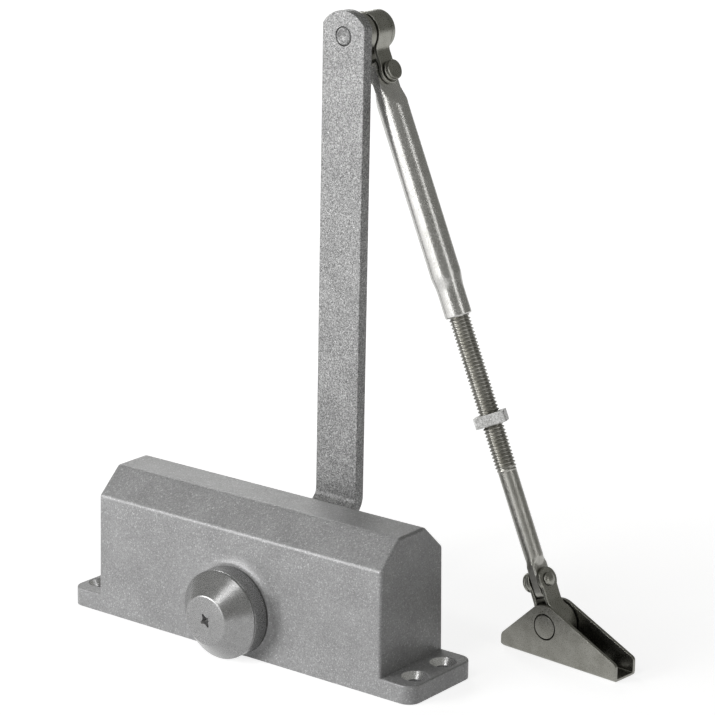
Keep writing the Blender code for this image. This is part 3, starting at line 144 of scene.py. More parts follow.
def sprayed(name, light, dark, grain, roughness, relief, metallic=0.15):
    """Silver metallic spray: a crisp speckle of flakes over a faint mottle.
    grain is the flake size in millimetres."""
    made, tree, shader = new_material(name, roughness, metallic)
    place = node(tree, "ShaderNodeTexCoord", (-1100, 0))
    speckle = node(tree, "ShaderNodeTexVoronoi", (-880, 400), Scale=1 / (grain * MM))
    flakes = node(tree, "ShaderNodeTexNoise", (-880, 120), Scale=1 / (grain * MM), Detail=2.5,
                  Roughness=0.62)
    mottle = node(tree, "ShaderNodeTexNoise", (-880, -160), Scale=70.0, Detail=3.0)
    for texture in (speckle, flakes, mottle):
        tree.links.new(place.outputs["Object"], texture.inputs["Vector"])
    spark = tuple(min(value * 1.6, 0.9) for value in light)
    colour = ramp(tree, speckle.outputs["Color"], ((0.15, dark), (0.78, light), (0.95, spark)),
                  (-640, 160))
    shift = node(tree, "ShaderNodeMix", (-340, 160), data_type="RGBA", blend_type="OVERLAY")
    shift.inputs[0].default_value = 0.22
    tree.links.new(colour.outputs["Color"], shift.inputs[6])
    tree.links.new(mottle.outputs["Fac"], shift.inputs[7])
    tree.links.new(shift.outputs[2], shader.inputs["Base Color"])
    shine = node(tree, "ShaderNodeMapRange", (-340, -120))
    shine.inputs["From Min"].default_value = 0.3
    shine.inputs["From Max"].default_value = 0.7
    shine.inputs["To Min"].default_value = roughness + 0.10
    shine.inputs["To Max"].default_value = roughness - 0.10
    tree.links.new(flakes.outputs["Fac"], shine.inputs["Value"])
    tree.links.new(shine.outputs["Result"], shader.inputs["Roughness"])
    bump = node(tree, "ShaderNodeBump", (-140, -340), Strength=relief, Distance=grain * MM * 0.5)
    tree.links.new(flakes.outputs["Fac"], bump.inputs["Height"])
    tree.links.new(bump.outputs["Normal"], shader.inputs["Normal"])
    return made


def plated(name, light, dark, roughness, stretch=(1, 1, 1), relief=0.12, grain=0.45,
           metallic=1.0):
    """Plated steel: tone and gloss wander softly, with a fine drawn grain along one axis."""
    made, tree, shader = new_material(name, roughness, metallic)
    place = node(tree, "ShaderNodeTexCoord", (-1300, 0))
    mapping = node(tree, "ShaderNodeMapping", (-1100, 0))
    mapping.inputs["Scale"].default_value = stretch
    tree.links.new(place.outputs["Object"], mapping.inputs["Vector"])
    drawn = node(tree, "ShaderNodeTexNoise", (-880, 120), Scale=1 / (grain * MM), Detail=3.0,
                 Roughness=0.6)
    tree.links.new(mapping.outputs["Vector"], drawn.inputs["Vector"])
    mottle = node(tree, "ShaderNodeTexNoise", (-880, -160), Scale=190.0, Detail=4.0)
    tree.links.new(place.outputs["Object"], mottle.inputs["Vector"])
    both = node(tree, "ShaderNodeMix", (-800, 300))
    both.inputs[0].default_value = 0.4
    tree.links.new(drawn.outputs["Fac"], both.inputs[2])
    tree.links.new(mottle.outputs["Fac"], both.inputs[3])
    colour = ramp(tree, both.outputs[0], ((0.36, dark), (0.64, light)), (-640, 160))
    tree.links.new(colour.outputs["Color"], shader.inputs["Base Color"])
    shine = node(tree, "ShaderNodeMapRange", (-340, -120))
    shine.inputs["From Min"].default_value = 0.3
    shine.inputs["From Max"].default_value = 0.7
    shine.inputs["To Min"].default_value = max(roughness - 0.06, 0.05)
    shine.inputs["To Max"].default_value = roughness + 0.08
    tree.links.new(drawn.outputs["Fac"], shine.inputs["Value"])
    tree.links.new(shine.outputs["Result"], shader.inputs["Roughness"])
    bump = node(tree, "ShaderNodeBump", (-140, -340), Strength=relief, Distance=grain * MM * 0.4)
    tree.links.new(drawn.outputs["Fac"], bump.inputs["Height"])
    tree.links.new(bump.outputs["Normal"], shader.inputs["Normal"])
    return made


def rubber(name):
    """Matt black rubber with a slight bloom."""
    made, tree, shader = new_material(name, 0.6, 0.0)
    place = node(tree, "ShaderNodeTexCoord", (-900, 0))
    bloom = node(tree, "ShaderNodeTexNoise", (-700, 0), Scale=900.0, Detail=3.0)
    tree.links.new(place.outputs["Object"], bloom.inputs["Vector"])
    colour = ramp(tree, bloom.outputs["Fac"], ((0.3, (0.012, 0.012, 0.013)),
                                               (0.75, (0.035, 0.035, 0.036))), (-460, 60))
    tree.links.new(colour.outputs["Color"], shader.inputs["Base Color"])
    return made


LOOKS = {
    "casting": sprayed("casting_spray", (0.36, 0.36, 0.365), (0.25, 0.25, 0.25), 0.40, 0.38, 0.50),
    "arm": sprayed("arm_spray", (0.45, 0.45, 0.45), (0.13, 0.13, 0.13), 0.42, 0.40, 0.70),
    "cap": sprayed("cap_spray", (0.35, 0.35, 0.35), (0.25, 0.25, 0.25), 0.28, 0.28, 0.16,
                   metallic=0.7),
    # Countersink faces: a lighter, glossier spray than the rest of the casting.
    "sink": sprayed("bright_countersink_spray", (0.80, 0.80, 0.80), (0.62, 0.62, 0.62), 0.35, 0.26, 0.20,
                    metallic=0.9),
    "nut": sprayed("nut_spray", (0.80, 0.80, 0.79), (0.42, 0.42, 0.41), 0.45, 0.42, 0.4),
    "strap": plated("strap_plate", (0.34, 0.338, 0.31), (0.22, 0.218, 0.192), 0.30, relief=0.3),
    "drawn": plated("drawn_plate", (0.64, 0.635, 0.62), (0.44, 0.435, 0.42), 0.22,
                    stretch=(1, 1, 0.5), relief=0.35, grain=0.36, metallic=0.9),
    "thread": plated("thread_plate", (0.46, 0.455, 0.43), (0.28, 0.275, 0.25), 0.33, relief=0.4),
    "shoe": plated("shoe_plate", (0.29, 0.287, 0.262), (0.19, 0.187, 0.165), 0.30, relief=0.3),
    "turned": plated("turned_steel", (0.52, 0.52, 0.52), (0.40, 0.40, 0.41), 0.30,
                     relief=0.15, grain=0.3),
    "spring": plated("spring_steel", (0.16, 0.16, 0.175), (0.08, 0.08, 0.09), 0.34),
    "ball": plated("ball_steel", (0.72, 0.72, 0.73), (0.62, 0.62, 0.63), 0.12, relief=0.02),
    "rubber": rubber("nitrile"),
}


# ---- mesh helpers -----------------------------------------------------------------------------
def finish_mesh(name, bm, matrix):
    """Object in the given frame from a bmesh in millimetres."""
    bmesh.ops.recalc_face_normals(bm, faces=bm.faces)
    bmesh.ops.scale(bm, vec=(MM, MM, MM), verts=bm.verts)
    mesh = bpy.data.meshes.new(name)
    bm.to_mesh(mesh)
    bm.free()
    made = bpy.data.objects.new(name, mesh)
    bpy.context.scene.collection.objects.link(made)
    made.matrix_world = matrix
    return made


def bake(target):
    """Modifiers applied, so that the next cut starts from plain mesh."""
    bpy.context.view_layer.update()
    graph = bpy.context.evaluated_depsgraph_get()
    old = target.data
    target.data = bpy.data.meshes.new_from_object(target.evaluated_get(graph))
    target.modifiers.clear()
    bpy.data.meshes.remove(old)


def combine(target, bm, operation="DIFFERENCE"):
    """Boolean with a tool mesh in the target's own frame; the tool is removed afterwards."""
    tool = finish_mesh("tool", bm, target.matrix_world)
    modifier = target.modifiers.new("cut", "BOOLEAN")
    modifier.operation = operation
    modifier.object = tool
    modifier.solver = "EXACT"
    bake(target)
    spent = tool.data
    bpy.data.objects.remove(tool)
    bpy.data.meshes.remove(spent)


def round_edges(target, width, segments=3, angle=35):
    modifier = target.modifiers.new("rounding", "BEVEL")
    modifier.width = width * MM
    modifier.segments = segments
    modifier.limit_method = "ANGLE"
    modifier.angle_limit = math.radians(angle)
    modifier.use_clamp_overlap = True
    bake(target)


def show(target, body, replaced, look, sharp=35):
    """Last touches: smooth shading, its material, the body it rides on."""
    target.data.shade_smooth()
    target.data.set_sharp_from_angle(angle=math.radians(sharp))
    weighted = target.modifiers.new("normals", "WEIGHTED_NORMAL")
    weighted.keep_sharp = True
    target.data.materials.clear()
    target.data.materials.append(LOOKS[look])
    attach(target, body)
    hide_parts(*replaced)


def second_look(target, look, chosen):
    """Another material on the faces whose middle, in millimetres, is chosen."""
    target.data.materials.append(LOOKS[look])
    for face in target.data.polygons:
        if chosen(*(face.center / MM)):
            face.material_index = 1


def turned(profile, axis="Y", facets=72, centre=(0, 0, 0)):
    """Solid of revolution. profile: (radius, station) points round the closed half section."""
    bm = bmesh.new()
    along = {"X": Vector((1, 0, 0)), "Y": Vector((0, 1, 0)), "Z": Vector((0, 0, 1))}[axis]
    away = {"X": Vector((0, 0, 1)), "Y": Vector((0, 0, 1)), "Z": Vector((1, 0, 0))}[axis]
    start = Vector(centre)
    points = [bm.verts.new(start + along * station + away * radius)
              for radius, station in profile]
    on_axis = [radius < 1e-6 for radius, station in profile]
    count = len(points)
    edges = [bm.edges.new((points[i], points[(i + 1) % count]))
             for i in range(count) if not (on_axis[i] and on_axis[(i + 1) % count])]
    bmesh.ops.spin(bm, geom=points + edges, cent=start, axis=along, dvec=(0, 0, 0),
                   angle=math.tau, steps=facets, use_merge=True)
    bmesh.ops.remove_doubles(bm, verts=bm.verts, dist=1e-4)
    return bm


def soften(profile, radius, steps=4, skip=()):
    """The same closed section with its corners rounded. Corners on the axis stay."""
    out = []
    count = len(profile)
    for i, (r, h) in enumerate(profile):
        before, after = profile[i - 1], profile[(i + 1) % count]
        if r < 1e-6 or i in skip:
            out.append((r, h))
            continue
        a = Vector((before[0] - r, before[1] - h))
        b = Vector((after[0] - r, after[1] - h))
        cut = min(radius, a.length * 0.45, b.length * 0.45)
        a.normalize()
        b.normalize()
        p, q, c = Vector((r, h)) + a * cut, Vector((r, h)) + b * cut, Vector((r, h))
        for step in range(steps + 1):
            t = step / steps
            point = p * (1 - t) ** 2 + c * 2 * t * (1 - t) + q * t * t
            out.append((max(point.x, 0.0), point.y))
    return out


def prism(outline, low, high, axis="Y", centre=(0, 0, 0)):
    """Outline pushed along an axis. Y and Z outlines are (x, z) and (x, y); X ones (y, z)."""
    place = {"X": lambda a, b, h: (h, a, b), "Y": lambda a, b, h: (a, h, b),
             "Z": lambda a, b, h: (a, b, h)}[axis]
    bm = bmesh.new()
    start = Vector(centre)
    face = bm.faces.new([bm.verts.new(start + Vector(place(a, b, low))) for a, b in outline])
    pushed = bmesh.ops.extrude_face_region(bm, geom=[face])
    moved = [item for item in pushed["geom"] if isinstance(item, bmesh.types.BMVert)]
    bmesh.ops.translate(bm, verts=moved, vec=Vector(place(0, 0, high - low)))
    return bm


def box(low, high):
    outline = [(low[0], low[1]), (high[0], low[1]), (high[0], high[1]), (low[0], high[1])]
    return prism(outline, low[2], high[2], axis="Z")


def arc(centre, radius, start, end, steps):
    turns = [math.radians(start + (end - start) * i / steps) for i in range(steps + 1)]
    return [(centre[0] + radius * math.cos(t), centre[1] + radius * math.sin(t)) for t in turns]


def rounded_box(half_a, half_b, radius, steps=8):
    a, b = half_a - radius, half_b - radius
    corners = [((a, b), 0), ((-a, b), 90), ((-a, -b), 180), ((a, -b), 270)]
    return [p for centre, turn in corners for p in arc(centre, radius, turn, turn + 90, steps)]


def bar(radius, low, high, edge=0.3):
    return [(0, low), (radius - edge, low), (radius, low + edge),
            (radius, high - edge), (radius - edge, high), (0, high)]


def ring(inner, outer, low, high):
    return [(inner, low), (outer, low), (outer, high), (inner, high)]


def hexagon(across):
    return arc((0, 0), across / math.sqrt(3), 30, 330, 5)


def loft(sections):
    """Closed skin over rings of points, with capped ends."""
    bm = bmesh.new()
    rings = [[bm.verts.new(point) for point in section] for section in sections]
    for first, second in zip(rings, rings[1:]):
        count = len(first)
        for i in range(count):
            j = (i + 1) % count
            bm.faces.new((first[i], first[j], second[j], second[i]))
    bm.faces.new(rings[0])
    bm.faces.new(rings[-1])
    return bm


# ---- housing ----------------------------------------------------------------------------------
GAP = 0.3
BODY_END = 75.5
BODY_HALF = 21.0
BODY_HEIGHT = 63.0
SHOULDER = 52.1
TOP_HALF = 8.7
DRAFT = math.tan(math.radians(0.7))
BORE_RADIUS, BORE_HEIGHT, BORE_END = 17.0, 28.0, 69.0
PINION_HEIGHT = PINION.z / MM
CROSS_BORE, NUT_BORE, NUT_SEAT = 10.5, 13.5, 18.3
BOSS_FACE, BOSS_RADIUS, BOSS_FILLET = BODY_HALF + 1.0, 19.0, 5.0
FLANGE, FLANGE_END, FLANGE_CORNER = 7.8, 91.0, 5.5
HOLE_X, HOLE_Y, SINK_DEPTH = 84.0, 9.5, 2.7
VALVE_HEIGHT, VALVE_OFFSET, VALVE_LENGTH = 54.0, 6.5, 19.0
AT_PINION = Vector((0, 0, PINION_HEIGHT))


def end_plate_mesh(side):
    """Mounting plate beyond one end of the block, its sides flush with the block's."""
    middle, turn = FLANGE_END - FLANGE_CORNER, BODY_HALF - FLANGE_CORNER
    outline = [(BODY_END - 4, BODY_HALF), (BODY_END - 4, -BODY_HALF)]
    outline += arc((middle, -turn), FLANGE_CORNER, -90, 0, 10)
    outline += arc((middle, turn), FLANGE_CORNER, 0, 90, 10)
    bm = prism([(side * x, y) for x, y in outline], -6, FLANGE, axis="Z")
    for vert in bm.verts:
        vert.co.y -= math.copysign(vert.co.z * DRAFT, vert.co.y)
    plate = finish_mesh("plate", bm, HOUSING)
    round_edges(plate, 0.7, segments=3, angle=50)
    bm = bmesh.new()
    bm.from_mesh(plate.data)
    bmesh.ops.scale(bm, vec=(1 / MM, 1 / MM, 1 / MM), verts=bm.verts)
    bpy.data.objects.remove(plate)
    return bm


def boss_mesh(side):
    """Round pad under a nut; its hollow fillet ends on the drafted side face all round."""
    root = BODY_HALF - PINION_HEIGHT * DRAFT
    rise = BOSS_FACE - root
    fillet = [(BOSS_RADIUS + BOSS_FILLET * (1 - math.cos(t)), BOSS_FACE - rise * math.sin(t))
              for t in (math.radians(5 * i) for i in range(2, 19))]
    profile = [(0, root - 6), (fillet[-1][0], root - 6)] + fillet[::-1]
    profile += [(BOSS_RADIUS, BOSS_FACE - 0.06), (BOSS_RADIUS - 0.08, BOSS_FACE), (0, BOSS_FACE)]
    bm = turned([(r, side * y) for r, y in profile], "Y", 96, AT_PINION)
    for vert in bm.verts:
        fall = min((BOSS_FACE - abs(vert.co.y)) / rise, 1.0)
        vert.co.y -= math.copysign(fall * (vert.co.z - PINION_HEIGHT) * DRAFT, vert.co.y)
    return bm


def make_housing():
    shoulder = BODY_HALF - SHOULDER * DRAFT
    section = [(-BODY_HALF, -9), (BODY_HALF, -9), (shoulder, SHOULDER), (TOP_HALF, BODY_HEIGHT),
               (-TOP_HALF, BODY_HEIGHT), (-shoulder, SHOULDER)]
    bm = prism(section, -BODY_END, BODY_END, axis="X")
    for vert in bm.verts:
        vert.co.x -= math.copysign(vert.co.z * DRAFT, vert.co.x)
    made = finish_mesh("housing_casting", bm, HOUSING)
    round_edges(made, 1.25, segments=5, angle=20)
    for side in (-1, 1):
        combine(made, end_plate_mesh(side), "UNION")
        combine(made, boss_mesh(side), "UNION")
    combine(made, box((-120, -60, -30), (120, 60, 0)))
    combine(made, turned(bar(BORE_RADIUS, -BODY_END - 20, BORE_END, edge=1.0), "X", 72,
                         (0, 0, BORE_HEIGHT)))
    cross = [(0, -REACH), (NUT_BORE, -REACH), (NUT_BORE, -NUT_SEAT), (CROSS_BORE, -NUT_SEAT),
             (CROSS_BORE, NUT_SEAT), (NUT_BORE, NUT_SEAT), (NUT_BORE, REACH), (0, REACH)]
    combine(made, turned(cross, "Y", 64, AT_PINION))
    for sx in (-1, 1):
        for sy in (-1, 1):
            hole = [(0, -REACH), (3.2, -REACH), (3.2, FLANGE - SINK_DEPTH),
                    (5.5, FLANGE - 0.15), (5.8, FLANGE), (5.9, FLANGE + 3), (0, FLANGE + 3)]
            combine(made, turned(hole, "Z", 48, (sx * HOLE_X, sy * HOLE_Y, 0)))
    for side in (-1, 1):
        y = side * VALVE_OFFSET
        deep = -BODY_END + VALVE_LENGTH + GAP
        combine(made, turned(bar(3.0 + GAP, -BODY_END - 20, deep + 2), "X", 32,
                             (0, y, VALVE_HEIGHT)))
        combine(made, turned(bar(1.2, BORE_HEIGHT, VALVE_HEIGHT), "Z", 12, (deep, y, 0)))
    show(made, "housing", ["housing"], "casting", sharp=30)
    second_look(made, "sink", in_countersink)


def in_countersink(x, y, z):
    away = math.hypot(abs(x) - HOLE_X, abs(y) - HOLE_Y)
    return 3.25 < away < 5.6 and FLANGE - SINK_DEPTH + 0.1 < z < FLANGE - 0.2


def make_end_plug():
    outer, length, radius = -BODY_END + 0.6, 10.0, BORE_RADIUS - GAP
    groove = outer + length / 2
    low, high = groove - 1.3, groove + 1.3
    floor = radius - 1.8 - GAP
    profile = [(0, outer), (radius - 0.8, outer), (radius, outer + 0.8), (radius, low - GAP),
               (floor, low - GAP), (floor, high + GAP), (radius, high + GAP),
               (radius, outer + length), (0, outer + length)]
    made = finish_mesh("bore_plug", turned(profile, "X", 72, (0, 0, BORE_HEIGHT)), HOUSING)
    for side in (-1, 1):
        hole = [(0, outer - 9), (2.3, outer - 9), (2.3, outer - 0.01), (2.0, outer + 0.3),
                (2.0, outer + length / 2), (0, outer + length / 2 + 1)]
        combine(made, turned(hole, "X", 32, (0, side * 9.5, BORE_HEIGHT)))
    show(made, "housing", ["end_plug"], "turned")


def make_nuts():
    for side, label in ((-1, "front"), (1, "rear")):
        face = BOSS_FACE + 3.2
        journal = 7.0
        profile = soften(ring(journal + GAP, NUT_BORE - GAP, NUT_SEAT + GAP, face), 0.6)
        made = finish_mesh(f"{label}_ring_nut",
                           turned([(r, side * y) for r, y in profile], "Y", 72, AT_PINION),
                           HOUSING)
        offset = (NUT_BORE + journal) / 2
        for x in (-offset, offset):
            hole = [(0, side * (face - 3)), (1.3, side * (face - 3)), (1.3, side * (face + 4)),
                    (0, side * (face + 4))]
            combine(made, turned(hole, "Y", 24, AT_PINION + Vector((x, 0, 0))))
        show(made, "housing", [f"{label}_retaining_nut"], "turned")


def make_valves():
    for side, name in ((-1, "sweep_valve"), (1, "latch_valve")):
        matrix = Matrix.Translation(joint_point(f"{name}_turn"))
        profile = [(0, 1.6), (2.55, 1.6), (2.85, 1.75), (3.0, 2.1), (3.0, VALVE_LENGTH - 6),
                   (1.8, VALVE_LENGTH - 5), (1.8, VALVE_LENGTH - 3), (0, VALVE_LENGTH)]
        made = finish_mesh(f"{name}_screw", turned(profile, "X", 40), matrix)
        combine(made, box((-6, -6, -0.5), (3.0, 6, 0.5)))
        show(made, name, [name], "turned")


def make_spring():
    """Coil between the piston and its seat, built at one length; nothing here shortens it as the
    piston comes on.
    """
    wire, coil, start, end = 1.6, 12.4, 25.9, 64.6
    turns, per_turn = 5, 24
    count = turns * per_turn
    sections = []
    for number in range(count + 1):
        share, turn = number / count, math.tau * number / per_turn
        x = start + (end - start) * (share - 0.12 * math.sin(math.tau * share) / math.tau)
        away = Vector((0, math.cos(turn), math.sin(turn)))
        middle = Vector((x, 0, BORE_HEIGHT)) + away * coil
        sections.append([middle + away * (wire * math.cos(t)) + Vector((wire * math.sin(t), 0, 0))
                         for t in (math.tau * i / 12 for i in range(12))])
    made = finish_mesh("coil_spring", loft(sections), HOUSING)
    show(made, "housing", ["main_spring"], "spring", sharp=50)
    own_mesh(made)


# ---- arm, cap and fasteners -------------------------------------------------------------------
HUB, ARM_THICK, ARM_FACE, ARM_HALF = 27.6, 5.3, 45.1, 10.8
EYE_RADIUS, STRAP, STRAP_HALF = 8.6, 1.6, 4.4
EYE_PIN = EYE_RADIUS - STRAP - GAP
ELBOW_PLANE = ELBOW.y / MM


def make_cap():
    base = -(BOSS_FACE + GAP)
    rim = base - 8.2
    face = rim - 8.5
    tip = -(BOSS_FACE + 3.2 + 1.2) + 9
    inside = face + 2.4 + 1.4
    outer = soften([(18.7, base), (18.7, rim + 1.1), (18.35, rim + 0.95), (18.35, rim + 0.8),
                    (18.7, rim + 0.65), (18.7, rim), (10.3, face)], 0.45, steps=4, skip=(0, 6))
    lip = soften([(18.7, rim), (10.3, face), (0.5, face)], 0.55, steps=5, skip=(0, 2))
    profile = [(0, tip), (2.7, tip), (2.7, inside), (8.7, inside), (15.7, rim + 1.2),
               (15.7, base), (18.2, base), (18.7, base - 0.5)] + outer[1:-1] + lip[1:-1]
    profile += [(0, face)]
    made = finish_mesh("cap_cover", turned(profile, "Y", 128), ARM)
    combine(made, star_recess_mesh(face))
    show(made, "arm", ["pinion_cap"], "cap", sharp=28)


def star_recess_mesh(face):
    """Cross recess with hollow flanks, narrowing as it goes in."""
    quarter = [(2.95, -0.46), (2.95, 0.46), (2.1, 0.62), (1.5, 0.84), (1.12, 1.12),
               (0.84, 1.5), (0.62, 2.1)]
    shape = []
    for turn in range(4):
        c, s = math.cos(math.radians(90 * turn)), math.sin(math.radians(90 * turn))
        shape += [(x * c - z * s, x * s + z * c) for x, z in quarter]
    sections = [[(x * share, face + depth, z * share) for x, z in shape]
                for depth, share in ((-1.0, 1.1), (0.0, 1.0), (1.2, 0.82), (2.3, 0.5))]
    bm = loft(sections)
    bmesh.ops.rotate(bm, verts=bm.verts, cent=(0, 0, 0),
                     matrix=Matrix.Rotation(math.radians(58), 3, "Y"))
    return bm


def arm_side_profile():
    slope, bend, steps = math.radians(46), 6.5, 14
    straight = (ARM_FACE - HUB - 2 * bend * (1 - math.cos(slope))) / math.sin(slope)
    y, z = HUB + ARM_THICK / 2, 10.5
    path = [(y, -30.0, 0.0)]
    for i in range(steps + 1):
        turn = slope * i / steps
        path.append((y + bend * (1 - math.cos(turn)), z + bend * math.sin(turn), turn))
    y = path[-1][0] + straight * math.sin(slope)
    z = path[-1][1] + straight * math.cos(slope)
    for i in range(steps + 1):
        turn = slope * (1 - i / steps)
        path.append((y + bend * (math.cos(turn) - math.cos(slope)),
                     z + bend * (math.sin(slope) - math.sin(turn)), turn))
    path.append((path[-1][0], ARM_LENGTH + 30, 0.0))
    half = ARM_THICK / 2
    near = [(y - half * math.cos(turn), z + half * math.sin(turn)) for y, z, turn in path]
    far = [(y + half * math.cos(turn), z - half * math.sin(turn)) for y, z, turn in path]
    return near + far[::-1]


def make_arm():
    made = finish_mesh("arm_bar", prism(arm_side_profile(), -ARM_HALF, ARM_HALF, axis="X"), ARM)
    sagitta = 6.0
    top_radius = (ARM_HALF ** 2 + sagitta ** 2) / (2 * sagitta)
    spread = math.degrees(math.asin(ARM_HALF / top_radius))
    outline = arc((0, 0), ARM_HALF, 180, 360, 40)
    outline += arc((0, ARM_LENGTH + 10.5 - top_radius), top_radius, 90 - spread, 90 + spread, 28)
    combine(made, prism(outline, HUB - 9, ARM_FACE + 19), "INTERSECT")
    round_edges(made, 0.45, segments=3, angle=50)
    combine(made, prism(rounded_box(5.3, 5.3, 0.9, steps=4), 0, 60))
    hole = [(0, 0), (4.1, 0), (4.1, ARM_FACE + 0.25), (4.1, 120), (0, 120)]
    combine(made, turned(hole, "Y", 64, (0, 0, ARM_LENGTH)))
    show(made, "arm", ["main_arm"], "arm", sharp=40)


def make_arm_fasteners():
    face = HUB + ARM_THICK
    washer = soften(ring(3.0, 9.0, face + GAP, face + GAP + 1.6), 0.35)
    made = finish_mesh("hub_washer", turned(washer, "Y", 72), ARM)
    show(made, "arm", ["arm_washer"], "shoe")
    under = face + 2 * GAP + 1.6
    top = under + 4.2
    made = finish_mesh("hub_bolt", prism(hexagon(11.0), under, top), ARM)
    dome = [(0, under - 1), (5.3, under - 1), (6.6, under + 0.6), (6.6, top - 1.0),
            (5.3, top - 0.12), (4.9, top), (0, top)]
    combine(made, turned(dome, "Y", 64), "INTERSECT")
    round_edges(made, 0.15, segments=2, angle=40)
    tip = face - 0.5 - 10.0
    combine(made, turned(bar(2.7, tip, under + 1), "Y", 40), "UNION")
    show(made, "arm", ["arm_bolt"], "shoe")


def make_elbow():
    centre = (0, 0, ARM_LENGTH)
    back = ARM_FACE + ARM_THICK + GAP
    head = ELBOW_PLANE + STRAP_HALF + GAP
    top = head + 2.4
    profile = [(0, ARM_FACE + 0.75), (1.2, ARM_FACE + 0.68), (2.2, ARM_FACE + 0.35),
               (2.8, ARM_FACE - 0.1), (3.15, ARM_FACE - 0.22), (3.5, ARM_FACE - 0.05),
               (3.75, ARM_FACE + 0.35), (3.8, ARM_FACE + 0.8),
               (3.8, back), (EYE_PIN, back), (EYE_PIN, head), (7.9, head), (8.25, head + 0.12),
               (8.4, head + 0.5), (8.4, top - 0.7), (8.2, top - 0.25), (7.7, top), (0, top)]
    made = finish_mesh("elbow_rivet", turned(profile, "Y", 96, centre), ARM)
    show(made, "arm", ["elbow_pin"], "strap")
    second_look(made, "arm", lambda x, y, z: y < ARM_FACE + 2)
    low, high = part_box("elbow_collar")
    start, end = low[1] / MM, high[1] / MM
    collar = soften(ring(EYE_PIN + GAP, 8.5, start, end), 0.45)
    made = finish_mesh("elbow_spacer", turned(collar, "Y", 96, centre), ARM)
    show(made, "arm", ["elbow_collar"], "strap")


# ---- knuckles and rivets ----------------------------------------------------------------------
LEG_GAP, NECK, REACH_TO_RIVET, LEG_END = 2.4, 5.0, 18.2, 5.2


def strap_outline():
    leg_outer = LEG_GAP + STRAP
    bend_x = leg_outer + NECK
    bend_z = -math.sqrt((EYE_RADIUS + NECK) ** 2 - bend_x ** 2)
    tangent = math.degrees(math.atan2(bend_z, bend_x))
    tail = -(REACH_TO_RIVET + LEG_END + 2)
    inner_eye = EYE_RADIUS - STRAP
    outer = [(leg_outer, tail)]
    outer += arc((bend_x, bend_z), NECK, 180, 180 + tangent, 10)
    outer += arc((0, 0), EYE_RADIUS, tangent, 180 - tangent, 56)[1:]
    outer += arc((-bend_x, bend_z), NECK, -tangent, 0, 10)[1:]
    outer += [(-leg_outer, tail)]
    wide = NECK + STRAP
    inner = [(-LEG_GAP, tail)]
    inner += arc((-bend_x, bend_z), wide, 0, -tangent, 10)
    inner += arc((0, 0), inner_eye, 180 - tangent, tangent, 56)[1:]
    inner += arc((bend_x, bend_z), wide, 180 + tangent, 180, 10)[1:]
    inner += [(LEG_GAP, tail)]
    return outer + inner


def make_knuckle(name, matrix, body, node_name):
    """Strap bent round its pin; the eye's axis is the frame's origin and the legs run down."""
    made = finish_mesh(name, prism(strap_outline(), -LEG_END - 1, LEG_END + 1), matrix)
    swell = math.degrees(math.acos(STRAP_HALF / LEG_END))
    outline = [(STRAP_HALF, EYE_RADIUS + 3), (-STRAP_HALF, EYE_RADIUS + 3)]
    outline += arc((0, -REACH_TO_RIVET), LEG_END, 180 - swell, 360 + swell, 30)
    combine(made, prism(outline, -EYE_RADIUS - 3, EYE_RADIUS + 3, axis="X"), "INTERSECT")
    round_edges(made, 0.42, segments=3, angle=50)
    combine(made, turned(bar(2.5, -REACH, REACH), "X", 40, (0, 0, -REACH_TO_RIVET)))
    show(made, body, [node_name], "strap", sharp=45)


def make_rivet(name, matrix, body, node_name, side):
    """Stepped head on one side of the legs, peened dome on the other."""
    face = LEG_GAP + STRAP + GAP
    top = face + 2.7
    step = face + 1.1
    dome = [(2.9 * math.sin(t), -face - 1.4 * math.cos(t))
            for t in (math.radians(15 * i) for i in range(7))]
    dome[0] = (0, -face - 1.4)
    profile = dome + [(2.2, -face), (2.2, face), (4.0, face), (4.2, face + 0.2),
                      (4.2, step - 0.25), (4.05, step - 0.05), (3.85, step), (3.82, step + 0.3),
                      (4.05, step + 0.36), (4.2, step + 0.6), (4.2, top - 0.5),
                      (4.05, top - 0.15), (3.7, top), (2.3, top - 0.02), (2.0, top - 0.12),
                      (0, top - 0.16)]
    bm = turned([(r, side * x) for r, x in profile], "X", 56, (0, 0, -REACH_TO_RIVET))
    show(finish_mesh(name, bm, matrix), body, [node_name], "strap", sharp=40)


# ---- forearm ----------------------------------------------------------------------------------
TUBE_RADIUS, TONGUE = 6.45, 2.1


def soft_min(a, b, width):
    """Smooth minimum of two lengths."""
    h = max(width - abs(a - b), 0.0) / width
    return min(a, b) - h * h * width * 0.25


